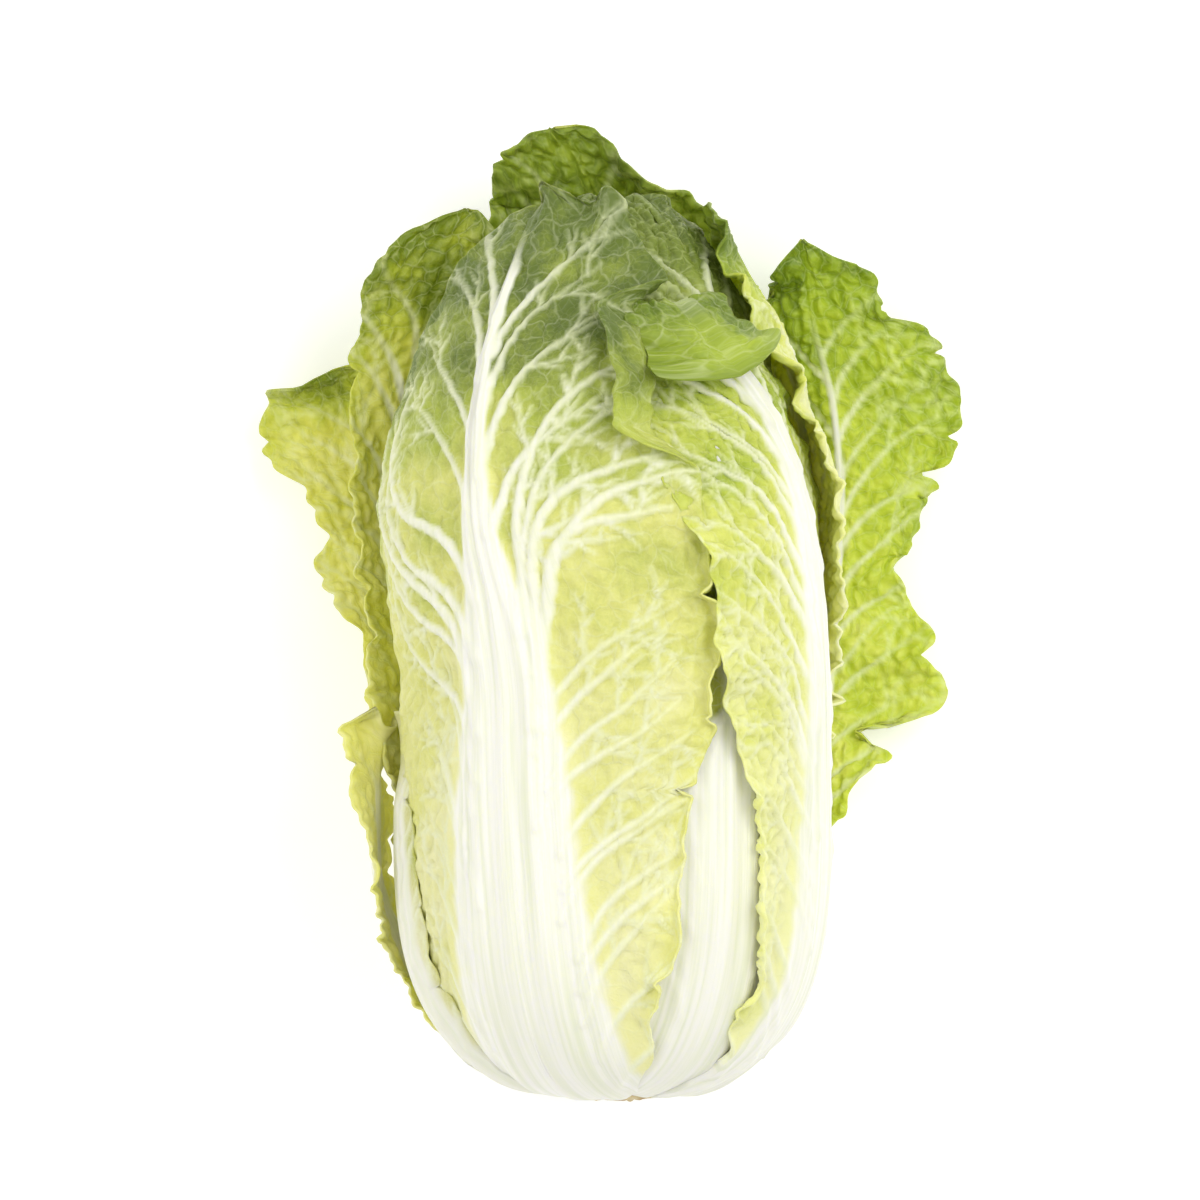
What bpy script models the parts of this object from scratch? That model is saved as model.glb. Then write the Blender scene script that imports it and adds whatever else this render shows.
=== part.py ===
"""A head of napa cabbage lying on its back, with its loose outer leaves spread beside and beyond it.

Metres, +Z up. The head's axis runs along Y, with the trimmed stem at -Y and the leaf tips at +Y.
Every leaf is a sheet lofted across three rails, its first margin, its midrib and its last margin, and
Solidify gives it the thickness of its blade and of its rib, outwards from the head. A rail point lies
either on the head, by how far along and how far round it is and how far out from the heart, or free.
"""

import math
from typing import NamedTuple

import bmesh
import bpy
import numpy as np

# Driving dimensions
HEART_WIDTH = 0.132
HEART_DEPTH = 0.118
BUTT_LENGTH = 0.131  # from the heart's widest place to its butt
TIP_LENGTH = 0.158  # from the heart's widest place to its tip
SPREAD_WIDTH = 0.238  # across the loose leaves, margin to margin
STEM_RADIUS = 0.021
STEM_LENGTH = 0.005
BLADE = 0.0012  # thickness of a leaf's blade
RIB = 0.0060  # thickness of a leaf's midrib at its base
CLEARANCE = 0.0010  # between one leaf and the next
FLAT_CUT = 0.0008  # depth of rib that is pressed flat where the head rests

# Where things stand
WIDEST_Y = -0.030
BUTT_POWER = 5.0  # how square the butt is
TIP_POWER = 2.6  # how blunt the tip is
FIRST_ALONG = 0.085  # where the leaves leave the stem, as a share of the heart's outline
OUTER_ALONG = 0.13  # the same for the outer leaves, which were trimmed higher
REST_PLACE = 0.5  # where the back leaf's rib carries the head, as a share of that leaf
ROWS = 17  # cross-sections of a leaf
CROWDING = 0.12  # how much closer they stand at its ends, where it curves most
STEP_ALONG = 0.02  # spacing of the points read along the head before a leaf is drawn through them
BLADE_COLUMNS = 4  # strips in each half of a blade

# Levels out from the heart, each clear of the one under it
HEART_INSET = 2 * CLEARANCE
CROWN = CLEARANCE
LOW = CROWN + BLADE + 1.5 * CLEARANCE
MID = LOW + CLEARANCE
HIGH = LOW + BLADE + RIB / 2 + CLEARANCE
OUTER = MID + RIB + BLADE + 3 * CLEARANCE

FLATNESS = HEART_DEPTH / HEART_WIDTH
MM = 0.001

# The head that the free cross-sections are drawn beside: they follow the real one's sizes from it
DRAWN_SIDE = 0.066
DRAWN_SPREAD = 0.119
DRAWN_BUTT = 0.131
DRAWN_TIP = 0.158
DRAWN_AXIS = 0.0772


def rib_left(place):
    """How much of a rib's thickness is left this far along the leaf, from 1 at its base to 0.25 at its tip."""
    return 0.25 + 0.75 * (1 - place) ** 0.8


AXIS_Z = HEART_DEPTH / 2 + OUTER + RIB * rib_left(REST_PLACE) - FLAT_CUT


def clear_scene():
    """Removes whatever the startup file holds."""
    for item in list(bpy.data.objects):
        bpy.data.objects.remove(item, do_unlink=True)


def outline():
    """Distance along, y, radius share and outward normal of the heart's outline, from butt to tip."""
    turn = np.linspace(0, math.pi / 2, 400)
    reach = np.sin(turn)
    butt = np.sqrt(1 - reach**BUTT_POWER)
    tip = np.sqrt(1 - reach**TIP_POWER)
    y = np.concatenate([WIDEST_Y - BUTT_LENGTH * reach[::-1], WIDEST_Y + TIP_LENGTH * reach[1:]])
    share = np.concatenate([butt[::-1], tip[1:]])
    radius = share * HEART_WIDTH / 2
    step = np.hypot(np.diff(y), np.diff(radius))
    along = np.concatenate([[0], np.cumsum(step)])
    slope_y = np.gradient(y, along)
    slope_r = np.gradient(radius, along)
    size = np.hypot(slope_y, slope_r)
    return along / along[-1], y, share, -slope_r / size, slope_y / size


OUTLINE = outline()


def on_head(along, angle, out):
    """A point out from the heart: angle in degrees from the top, positive towards +X."""
    fractions, ys, shares, normal_y, normal_r = OUTLINE
    y = np.interp(along, fractions, ys) + out * np.interp(along, fractions, normal_y)
    share = np.interp(along, fractions, shares)
    lift = out * np.interp(along, fractions, normal_r)
    turn = math.radians(angle)
    x = (share * HEART_WIDTH / 2 + lift) * math.sin(turn)
    z = AXIS_Z + (share * HEART_DEPTH / 2 + lift) * math.cos(turn)
    return x, y, z


class OnHead(NamedTuple):
    """A cross-section that lies on the head. Each rail is (angle, distance out)."""

    along: float
    first: tuple
    middle: tuple
    last: tuple


class Free(NamedTuple):
    """A cross-section that lies free, in millimetres beside the drawn head. Each rail is (x, z)."""

    y: float
    first: tuple
    middle: tuple
    last: tuple


def slopes(values, knots):
    """Tangents that keep a curve from overshooting its points."""
    gaps = np.diff(knots)
    rise = np.diff(values) / gaps
    tangents = np.zeros(len(values))
    tangents[0], tangents[-1] = rise[0], rise[-1]
    for i in range(1, len(values) - 1):
        if rise[i - 1] * rise[i] > 0:
            tangents[i] = 2 * rise[i - 1] * rise[i] / (rise[i - 1] + rise[i])
    return tangents


def follow(values, knots, where):
    """Reads a smooth curve through the values at each place asked for."""
    tangents = slopes(values, knots)
    index = np.clip(np.searchsorted(knots, where, side="right") - 1, 0, len(knots) - 2)
    gap = knots[index + 1] - knots[index]
    t = (where - knots[index]) / gap
    return (
        (2 * t**3 - 3 * t**2 + 1) * values[index]
        + (t**3 - 2 * t**2 + t) * gap * tangents[index]
        + (3 * t**2 - 2 * t**3) * values[index + 1]
        + (t**3 - t**2) * gap * tangents[index + 1]
    )


def beside_head(x, y, z):
    """Where a point drawn beside the drawn head stands beside the real one."""
    beyond = max(0, abs(x) - DRAWN_SIDE)
    across = (abs(x) - beyond) * HEART_WIDTH / 2 / DRAWN_SIDE
    across += beyond * (SPREAD_WIDTH - HEART_WIDTH) / 2 / (DRAWN_SPREAD - DRAWN_SIDE)
    along = y - WIDEST_Y
    along *= TIP_LENGTH / DRAWN_TIP if along > 0 else BUTT_LENGTH / DRAWN_BUTT
    return math.copysign(across, x), WIDEST_Y + along, z * AXIS_Z / DRAWN_AXIS


def points_of(sections):
    """The rails' points in space: closely spaced while the leaf lies on the head, then one for each row."""
    held = [section for section in sections if isinstance(section, OnHead)]
    knots = np.array([section.along for section in held])
    count = 1 + math.ceil((knots[-1] - knots[0]) / STEP_ALONG)
    places = np.linspace(knots[0], knots[-1], count)
    tracks = [
        [follow(np.array([section[rail][i] for section in held]), knots, places) for i in (0, 1)]
        for rail in (1, 2, 3)
    ]
    rows = [
        [on_head(place, angles[row], outs[row]) for angles, outs in tracks]
        for row, place in enumerate(places)
    ]
    for section in sections[len(held) :]:
        rows.append([beside_head(x * MM, section.y * MM, z * MM) for x, z in section[1:]])
    return np.array(rows)


def rails_of(sections, places):
    """(y, angle, radius) of the three rails about the head's axis, as if the head were round."""
    points = points_of(sections)
    points[..., 2] = AXIS_Z + (points[..., 2] - AXIS_Z) / FLATNESS
    angle = np.unwrap(np.arctan2(points[..., 0], points[..., 2] - AXIS_Z), axis=1)
    angle = np.unwrap(angle, axis=0)
    radius = np.hypot(points[..., 0], points[..., 2] - AXIS_Z)
    step = np.linalg.norm(np.diff(points[:, 1], axis=0), axis=1)
    knots = np.concatenate([[0], np.cumsum(step)])
    knots /= knots[-1]
    return [
        [follow(track[:, rail], knots, places) for track in (points[..., 1], angle, radius)]
        for rail in range(3)
    ]


def rib_share(rails, places, rib_width):
    """The rib's half-width as a share of each half of the leaf, for (base, top) half-widths in metres."""
    base, top = rib_width
    half = top + (base - top) * (1 - places) ** 1.6
    shares = []
    for side in (0, 2):
        reach = np.abs(rails[side][1] - rails[1][1]) * rails[1][2]
        shares.append(np.clip(half / reach, 0.06, 0.9))
    return shares


def make_leaf(name, sections, rib_width, rib, material, collection):
    """One leaf: a lofted sheet with a Solidify whose weights thicken its midrib."""
    even = np.linspace(0, 1, ROWS)
    places = even - CROWDING * np.sin(2 * math.pi * even)
    rails = rails_of(sections, places)
    shares = rib_share(rails, places, rib_width)
    mesh = bpy.data.meshes.new(name)
    model = bmesh.new()
    weights = []
    grid = []
    for row, place in enumerate(places):
        strip = []
        for side, share in ((0, shares[0][row]), (2, shares[1][row])):
            reaches = [0, share * 0.55, share]
            reaches += [share + (1 - share) * (i + 1) / BLADE_COLUMNS for i in range(BLADE_COLUMNS)]
            thick = rib * rib_left(place)
            depths = [thick, thick * 0.85, thick * 0.3] + [0] * BLADE_COLUMNS
            half = []
            for reach, depth in zip(reaches, depths):
                y, angle, radius = (
                    rails[1][i][row] * (1 - reach) + rails[side][i][row] * reach for i in range(3)
                )
                point = (radius * math.sin(angle), y, AXIS_Z + FLATNESS * radius * math.cos(angle))
                half.append((point, max(BLADE, depth) / rib))
            strip += half[:0:-1] if side == 0 else half
        grid.append([model.verts.new(point) for point, _ in strip])
        weights += [weight for _, weight in strip]
    for lower, upper in zip(grid, grid[1:]):
        for i in range(len(lower) - 1):
            model.faces.new((lower[i], lower[i + 1], upper[i + 1], upper[i]))
    model.to_mesh(mesh)
    model.free()
    mesh.shade_smooth()
    mesh.set_sharp_from_angle(angle=math.radians(50))
    leaf = bpy.data.objects.new(name, mesh)
    collection.objects.link(leaf)
    thickness = leaf.vertex_groups.new(name="thickness")
    for index, weight in enumerate(weights):
        thickness.add([index], weight, "REPLACE")
    shell = leaf.modifiers.new("thickness", "SOLIDIFY")
    shell.thickness = rib
    shell.offset = 1
    shell.vertex_group = thickness.name
    mesh.materials.append(material)
    return leaf


def make_material(name, colour, roughness):
    """A plain Principled material."""
    material = bpy.data.materials.new(name)
    material.use_nodes = True
    shader = material.node_tree.nodes["Principled BSDF"]
    shader.inputs["Base Color"].default_value = (*colour, 1)
    shader.inputs["Roughness"].default_value = roughness
    shader.inputs["Metallic"].default_value = 0
    return material


def make_heart(collection):
    """The tightly packed inner leaves as one closed body, drawn out from a sphere to the outline."""
    bpy.ops.mesh.primitive_uv_sphere_add(segments=24, ring_count=14, radius=1)
    heart = bpy.context.active_object
    heart.name = heart.data.name = "heart"
    fractions, ys, shares, _, _ = OUTLINE
    for vertex in heart.data.vertices:
        x, y, z = vertex.co
        along = 1 - math.acos(max(-1, min(1, z))) / math.pi
        round_share = math.hypot(x, y)
        share = np.interp(along, fractions, shares)
        across = (x / round_share, y / round_share) if round_share > 1e-6 else (0, 0)
        vertex.co = (
            across[0] * share * (HEART_WIDTH / 2 - HEART_INSET),
            np.interp(along, fractions, ys) * (1 - HEART_INSET / TIP_LENGTH),
            AXIS_Z - across[1] * share * (HEART_DEPTH / 2 - HEART_INSET),
        )
    heart.data.shade_smooth()
    heart.data.materials.append(make_material("heart_leaves", (0.80, 0.85, 0.45), 0.45))
    move_to(heart, collection)
    return heart


def make_stem(collection):
    """The stem's stub, cut across by the knife, with its rim eased."""
    bpy.ops.mesh.primitive_cone_add(
        vertices=24,
        radius1=STEM_RADIUS * 0.86,
        radius2=STEM_RADIUS,
        depth=STEM_LENGTH,
        location=(0, WIDEST_Y - BUTT_LENGTH - CLEARANCE - STEM_LENGTH / 2, AXIS_Z),
        rotation=(-math.pi / 2, 0, 0),
    )
    stem = bpy.context.active_object
    stem.name = stem.data.name = "stem"
    rim = stem.modifiers.new("rim", "BEVEL")
    rim.width = STEM_LENGTH / 8
    rim.segments = 2
    stem.data.shade_smooth()
    stem.data.set_sharp_from_angle(angle=math.radians(40))
    stem.data.materials.append(make_material("cut_stem", (0.72, 0.62, 0.42), 0.7))
    move_to(stem, collection)
    return stem


def move_to(item, collection):
    """Takes an object out of its collections and puts it in this one."""
    for old in list(item.users_collection):
        old.objects.unlink(item)
    collection.objects.link(item)


def press_flat(leaf, cutters):
    """Cuts the leaf level where it carries the head, at z = 0."""
    block = 0.4
    bpy.ops.mesh.primitive_cube_add(size=block, location=(0, 0, -block / 2))
    table = bpy.context.active_object
    table.name = "table_cutter"
    table.hide_render = True
    table.display_type = "WIRE"
    move_to(table, cutters)
    cut = leaf.modifiers.new("pressed_flat", "BOOLEAN")
    cut.operation = "DIFFERENCE"
    cut.object = table


def front_leaf():
    """The leaf that faces up, with the broad rib."""
    return [
        OnHead(FIRST_ALONG, (-48, LOW), (-23, LOW), (3, HIGH)),
        OnHead(0.15, (-58, LOW), (-24, LOW), (9, HIGH)),
        OnHead(0.25, (-62, LOW), (-26, LOW), (12, HIGH)),
        OnHead(0.38, (-66, LOW), (-28, LOW), (16, HIGH)),
        OnHead(0.47, (-68, LOW), (-29, LOW), (22, HIGH)),
        OnHead(0.55, (-88, HIGH), (-32, MID), (21, HIGH)),
        OnHead(0.64, (-94, HIGH + RIB), (-37, HIGH), (15, HIGH)),
        OnHead(0.74, (-92, HIGH + RIB), (-41, HIGH), (10, HIGH)),
        OnHead(0.84, (-80, HIGH + RIB), (-43, HIGH), (6, HIGH)),
        OnHead(0.93, (-64, HIGH + RIB), (-46, HIGH + RIB), (2, HIGH + RIB)),
    ]


def lower_middle_leaf():
    """The leaf under the front and right ones, whose rib shows between them."""
    return [
        OnHead(FIRST_ALONG, (6, LOW), (30, LOW), (54, LOW)),
        OnHead(0.15, (3, LOW), (31, LOW), (58, LOW)),
        OnHead(0.30, (0, LOW), (32, LOW), (62, LOW)),
        OnHead(0.50, (-4, LOW), (32, LOW), (62, LOW)),
        OnHead(0.66, (0, LOW), (31, LOW), (58, LOW)),
        OnHead(0.78, (12, LOW), (30, LOW), (48, LOW)),
    ]


def right_leaf():
    """The leaf whose rib runs up the right side, and whose blade lies over towards the front."""
    return [
        OnHead(FIRST_ALONG, (40, HIGH), (66, MID), (90, LOW)),
        OnHead(0.15, (43, HIGH), (67, MID), (95, LOW)),
        OnHead(0.26, (43, HIGH + BLADE), (68, MID), (99, LOW)),
        OnHead(0.36, (39, HIGH + BLADE), (69, MID), (101, LOW)),
        OnHead(0.46, (32, HIGH + 3 * BLADE), (69, MID), (101, LOW)),
        OnHead(0.56, (27, HIGH + 4 * BLADE), (67, MID), (99, LOW)),
        OnHead(0.66, (22, HIGH + 4 * BLADE), (63, MID), (94, LOW)),
        OnHead(0.75, (17, HIGH + 3 * BLADE), (52, HIGH), (84, LOW)),
        OnHead(0.84, (15, HIGH + 3 * BLADE), (34, HIGH), (58, MID)),
    ]


def ruffled_right_leaf():
    """The leaf behind the right one, whose frilled margin shows past its rib and up to the tip."""
    return [
        OnHead(FIRST_ALONG, (82, HIGH), (110, MID), (134, LOW)),
        OnHead(0.15, (84, HIGH), (112, MID), (138, LOW)),
        OnHead(0.28, (86, HIGH), (113, MID), (142, LOW)),
        OnHead(0.40, (87, HIGH + BLADE), (113, MID), (144, LOW)),
        OnHead(0.52, (88, HIGH + RIB), (112, MID), (144, LOW)),
        OnHead(0.64, (84, HIGH + RIB), (109, HIGH), (140, LOW)),
        OnHead(0.75, (74, HIGH + RIB), (101, HIGH), (132, LOW)),
        OnHead(0.85, (61, HIGH + RIB), (87, HIGH), (118, MID)),
        OnHead(0.93, (50, HIGH + 2 * RIB), (74, HIGH + RIB), (96, HIGH)),
    ]


def left_leaf():
    """The torn leaf up the left side, broken off halfway, whose blade lies over the front leaf's rib."""
    return [
        OnHead(FIRST_ALONG, (-104, LOW), (-78, MID), (-47, HIGH)),
        OnHead(0.15, (-108, LOW), (-81, MID), (-54, HIGH)),
        OnHead(0.26, (-110, LOW), (-83, MID), (-54, HIGH)),
        OnHead(0.36, (-110, LOW), (-84, MID), (-52, HIGH)),
        OnHead(0.455, (-108, LOW), (-84, MID), (-52, HIGH)),
    ]


def top_back_leaf():
    """The dark leaf that comes up behind the head and ends past its tip."""
    return [
        OnHead(FIRST_ALONG, (128, HIGH), (160, MID), (188, LOW)),
        OnHead(0.18, (132, HIGH), (163, MID), (192, LOW)),
        OnHead(0.34, (134, HIGH), (166, MID), (193, LOW)),
        OnHead(0.52, (135, HIGH), (172, MID), (194, LOW)),
        OnHead(0.68, (132, HIGH), (176, MID), (200, LOW)),
        Free(88, (36, 36), (-3, 26), (-38, 34)),
        Free(122, (35, 46), (-6, 32), (-44, 42)),
        Free(148, (13, 52), (-12, 40), (-42, 50)),
        Free(163, (-8, 54), (-19, 48), (-32, 54)),
    ]


def top_left_leaf():
    """The leaf that comes out past the head's left shoulder."""
    return [
        OnHead(FIRST_ALONG, (-158, LOW), (-128, MID), (-97, HIGH)),
        OnHead(0.20, (-160, LOW), (-129, MID), (-100, HIGH)),
        OnHead(0.34, (-160, LOW), (-128, MID), (-99, HIGH)),
        OnHead(0.46, (-156, LOW), (-124, MID), (-96, HIGH + RIB)),
        Free(30, (-46, 25), (-76, 33), (-89, 52)),
        Free(70, (-40, 36), (-72, 38), (-91, 54)),
        Free(98, (-36, 46), (-64, 46), (-86, 57)),
        Free(119, (-40, 54), (-59, 54), (-74, 61)),
        Free(131, (-46, 58), (-52, 59), (-58, 62)),
    ]


def crown_leaf(side):
    """One of the two inner leaves that close over the heart: side is -1 on the left, 1 on the right."""
    rows = [
        (FIRST_ALONG, 6, 60, 124),
        (0.30, 4, 62, 128),
        (0.60, 4, 58, 124),
        (0.80, 4, 48, 110),
        (0.95, 4, 38, 84),
    ]
    sections = []
    for along, *angles in rows:
        rails = [(side * angle, CROWN) for angle in angles[::side]]
        sections.append(OnHead(along, *rails))
    return sections


def right_outer_leaf():
    """The large loose leaf on the right, spread flat beside the head."""
    return [
        OnHead(OUTER_ALONG, (94, OUTER), (124, OUTER), (153, OUTER)),
        OnHead(0.23, (96, OUTER), (122, OUTER), (158, OUTER)),
        Free(-84, (77, 36), (66, 26), (26, 8)),
        Free(-60, (86, 28), (71, 22), (26, 6)),
        Free(-32, (116, 20), (75, 20), (26, 5)),
        Free(2, (106, 18), (78, 22), (26, 5)),
        Free(32, (111, 18), (80, 24), (26, 6)),
        Free(66, (119, 22), (78, 27), (28, 9)),
        Free(95, (103, 28), (71, 31), (38, 18)),
        Free(114, (83, 36), (68, 36), (52, 30)),
        Free(126, (69, 41), (66, 41), (62, 39)),
    ]


def left_outer_leaf():
    """The loose leaf on the left, spread flat beside the head."""
    return [
        OnHead(OUTER_ALONG, (-162, OUTER), (-141, OUTER), (-120, OUTER)),
        OnHead(0.24, (-163, OUTER), (-138, OUTER), (-119, OUTER)),
        Free(-60, (-24, 6), (-60, 15), (-77, 22)),
        Free(-30, (-24, 5), (-65, 14), (-84, 20)),
        Free(0, (-24, 5), (-69, 15), (-95, 18)),
        Free(28, (-24, 6), (-72, 16), (-102, 16)),
        Free(55, (-26, 8), (-74, 19), (-119, 17)),
        Free(73, (-36, 14), (-78, 23), (-114, 23)),
        Free(84, (-64, 24), (-82, 27), (-99, 29)),
    ]


def left_lower_leaf():
    """The short torn leaf that stands out low on the left."""
    return [
        OnHead(OUTER_ALONG, (-113, OUTER), (-97, OUTER), (-80, OUTER)),
        OnHead(0.22, (-113, OUTER), (-98, OUTER), (-83, OUTER + BLADE)),
        OnHead(0.31, (-112, OUTER), (-98, OUTER + BLADE), (-85, OUTER + RIB)),
        OnHead(0.38, (-111, OUTER), (-98, OUTER + RIB), (-87, OUTER + 3 * RIB)),
        OnHead(0.45, (-110, OUTER), (-98, OUTER + RIB), (-89, OUTER + 3 * RIB)),
    ]


def back_leaf():
    """The broad-ribbed leaf under the head, which carries it."""
    return [
        OnHead(OUTER_ALONG, (160, OUTER), (178, OUTER), (194, OUTER)),
        OnHead(0.20, (164, OUTER), (179, OUTER), (194, OUTER)),
        OnHead(0.45, (165, OUTER), (180, OUTER), (195, OUTER)),
        OnHead(0.65, (166, OUTER), (180, OUTER), (194, OUTER)),
        OnHead(0.78, (170, OUTER), (180, OUTER), (190, OUTER)),
    ]


def main():
    """Builds every piece."""
    clear_scene()
    parts = bpy.data.collections.new("cabbage_head")
    cutters = bpy.data.collections.new("cutters")
    cutters.hide_render = True
    bpy.context.scene.collection.children.link(parts)
    bpy.context.scene.collection.children.link(cutters)
    make_heart(parts)
    make_stem(parts)

    white = (0.86, 0.90, 0.74)
    pale = (0.66, 0.74, 0.28)
    fresh = (0.42, 0.62, 0.10)
    dark = (0.17, 0.35, 0.05)
    # name, cross-sections, half-widths of the rib at its base and top, share of the rib's thickness, colour
    leaves = [
        ("crown_left_leaf", crown_leaf(-1), (0.010, 0.003), 0, pale),
        ("crown_right_leaf", crown_leaf(1), (0.010, 0.003), 0, pale),
        ("lower_middle_leaf", lower_middle_leaf(), (0.018, 0.004), 0.8, white),
        ("front_leaf", front_leaf(), (0.026, 0.002), 1, white),
        ("right_leaf", right_leaf(), (0.020, 0.003), 1, fresh),
        ("left_leaf", left_leaf(), (0.018, 0.008), 0.9, white),
        ("ruffled_right_leaf", ruffled_right_leaf(), (0.018, 0.002), 0.8, fresh),
        ("top_back_leaf", top_back_leaf(), (0.020, 0.002), 0.8, dark),
        ("top_left_leaf", top_left_leaf(), (0.020, 0.002), 0.8, fresh),
        ("right_outer_leaf", right_outer_leaf(), (0.018, 0.003), 0.8, fresh),
        ("left_outer_leaf", left_outer_leaf(), (0.016, 0.003), 0.8, pale),
        ("left_lower_leaf", left_lower_leaf(), (0.012, 0.004), 0.6, pale),
        ("back_leaf", back_leaf(), (0.014, 0.008), 1, white),
    ]
    for name, sections, rib_width, share, colour in leaves:
        material = make_material(name, colour, 0.45)
        rib = max(RIB * share, BLADE)
        leaf = make_leaf(name, sections, rib_width, rib, material, parts)
        if name == "back_leaf":
            press_flat(leaf, cutters)


main()
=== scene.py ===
"""A head of napa cabbage lying on its back: its leaves, heart and cut stem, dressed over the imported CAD.

Metres, +Z up. The head's axis runs along Y, with the cut stem at -Y and the leaf tips at +Y. Each leaf is a
sheet lofted across three rails, its first margin, its midrib and its last margin, as in the CAD. A place on a
leaf is (along the midrib, across from it) in millimetres, and its veins are drawn in those measures.
"""

import logging
import math
from dataclasses import dataclass
from enum import Enum
from typing import Any, NamedTuple

import bmesh
import bpy
import numpy as np
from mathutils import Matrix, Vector


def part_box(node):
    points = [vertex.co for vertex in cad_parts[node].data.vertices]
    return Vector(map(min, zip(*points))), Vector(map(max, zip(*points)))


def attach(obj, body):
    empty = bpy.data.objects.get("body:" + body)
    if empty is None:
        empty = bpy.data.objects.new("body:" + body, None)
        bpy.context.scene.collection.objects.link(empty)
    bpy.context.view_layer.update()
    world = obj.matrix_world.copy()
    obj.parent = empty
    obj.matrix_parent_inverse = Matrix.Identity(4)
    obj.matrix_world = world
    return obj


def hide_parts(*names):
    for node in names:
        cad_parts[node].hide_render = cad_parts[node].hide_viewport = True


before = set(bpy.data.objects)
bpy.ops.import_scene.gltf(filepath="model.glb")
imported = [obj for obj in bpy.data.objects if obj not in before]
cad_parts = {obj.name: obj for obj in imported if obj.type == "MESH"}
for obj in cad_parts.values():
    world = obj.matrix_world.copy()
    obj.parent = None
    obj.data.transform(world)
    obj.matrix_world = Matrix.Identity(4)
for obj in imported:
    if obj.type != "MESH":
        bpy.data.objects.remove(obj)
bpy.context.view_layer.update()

MM = 0.001
BODY = "root"
LOG = logging.getLogger("cabbage")

Array = np.ndarray
Pair = tuple[float, float]
Colour = tuple[float, float, float, float]
Vein = tuple[Array, float, float]


class Side(Enum):
    """The two halves of a leaf's blade, by the direction of rising angle round the head."""

    FIRST = -1
    LAST = 1


class OnHead(NamedTuple):
    """A cross-section that lies on the head. Each rail is (angle in degrees from the top, distance out)."""

    along: float
    first: Pair
    middle: Pair
    last: Pair


class Free(NamedTuple):
    """A cross-section that lies free beside the head, in millimetres. Each rail is (x, z)."""

    y: float
    first: Pair
    middle: Pair
    last: Pair


# Levels out from the heart, each clear of the one under it
BLADE = 0.0012
RIB = 0.0060
CLEARANCE = 0.0010
BASE = 0.0022
CROWN = CLEARANCE
LOW = CROWN + BLADE + 1.5 * CLEARANCE
MID = LOW + CLEARANCE
HIGH = LOW + BLADE + RIB / 2 + CLEARANCE
OUTER = MID + RIB + BLADE + 3 * CLEARANCE
BUTT_ALONG = 0.058  # where the leaves leave the cut stem, as a share of the head's outline
CUT_Y = -0.1664  # the knife's cut across the butt
STEP_ALONG = 0.02  # the share of the outline between the cross-sections that are drawn through


# --- Small helpers -----------------------------------------------------------------------------


def linear(code: str) -> Colour:
    """Turns an sRGB hex colour into linear light.

    Args:
        code: six hex digits.

    Returns:
        Red, green, blue and an alpha of 1.
    """
    parts = [int(code[i : i + 2], 16) / 255 for i in (0, 2, 4)]
    red, green, blue = (p / 12.92 if p <= 0.04045 else ((p + 0.055) / 1.055) ** 2.4 for p in parts)
    return red, green, blue, 1.0


def feed(tree: Any, node: Any, inputs: dict[Any, Any]) -> None:
    """Sets a node's inputs, by name or number, or links them to other nodes' output sockets."""
    for key, value in inputs.items():
        if isinstance(value, bpy.types.NodeSocket):
            tree.links.new(value, node.inputs[key])
        else:
            node.inputs[key].default_value = value


def add(tree: Any, kind: str, inputs: dict[Any, Any] | None = None, **settings: Any) -> Any:
    """Adds a node with its settings and links.

    Args:
        tree: the node tree.
        kind: the node's type.
        inputs: a value or another node's output socket for each input's name or number.
        **settings: the node's own properties.

    Returns:
        The new node.
    """
    made = tree.nodes.new(kind)
    for name, value in settings.items():
        setattr(made, name, value)
    feed(tree, made, inputs or {})
    return made


def reckon(tree: Any, operation: str, *values: Any) -> Any:
    """The result of a Math node on two or three values or sockets."""
    return add(tree, "ShaderNodeMath", dict(enumerate(values)), operation=operation).outputs[0]


def shift(tree: Any, operation: str, first: Any, second: Any) -> Any:
    """The result of a Vector Math node, whose second value is one number when it scales."""
    key = "Scale" if operation == "SCALE" else 1
    return add(tree, "ShaderNodeVectorMath", {0: first, key: second}, operation=operation).outputs[0]


def noise(tree: Any, where: Any, scale: Any, detail: float, output: str = "Fac") -> Any:
    """An output of a Noise node."""
    made = add(tree, "ShaderNodeTexNoise", {"Vector": where, "Scale": scale, "Detail": detail})
    return made.outputs[output]


def ranged(tree: Any, value: Any, source: Pair, target: Pair, curve: str = "LINEAR") -> Any:
    """Carries a socket's value from one range to another.

    Args:
        tree: the node tree.
        value: the socket.
        source: the range that it is read in.
        target: the range that it is carried to.
        curve: how it goes between them.

    Returns:
        The result's socket.
    """
    ends = {"From Min": source[0], "From Max": source[1], "To Min": target[0], "To Max": target[1]}
    made = add(tree, "ShaderNodeMapRange", {"Value": value, **ends}, interpolation_type=curve)
    return made.outputs["Result"]


def drifted(tree: Any, place: Any) -> Any:
    """A place on a leaf, pushed some millimetres about so that its net wanders."""
    wobble = noise(tree, place, DRIFT_PITCH, 2.0, "Color")
    drift = shift(tree, "SUBTRACT", wobble, (0.5, 0.5, 0.5))
    return shift(tree, "ADD", place, shift(tree, "SCALE", drift, DRIFT))


def cell_edges(tree: Any, where: Any, scale: Any) -> Any:
    """How far a place is from the edges of a net of cells."""
    cells = add(
        tree,
        "ShaderNodeTexVoronoi",
        {"Vector": where, "Scale": scale},
        voronoi_dimensions="2D",
        feature="DISTANCE_TO_EDGE",
    )
    return cells.outputs["Distance"]


def new_material(name: str) -> tuple[Any, Any, Any]:
    """A new material, its nodes and its shader."""
    made = bpy.data.materials.new(name)
    made.use_nodes = True
    return made, made.node_tree, made.node_tree.nodes["Principled BSDF"]


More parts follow.
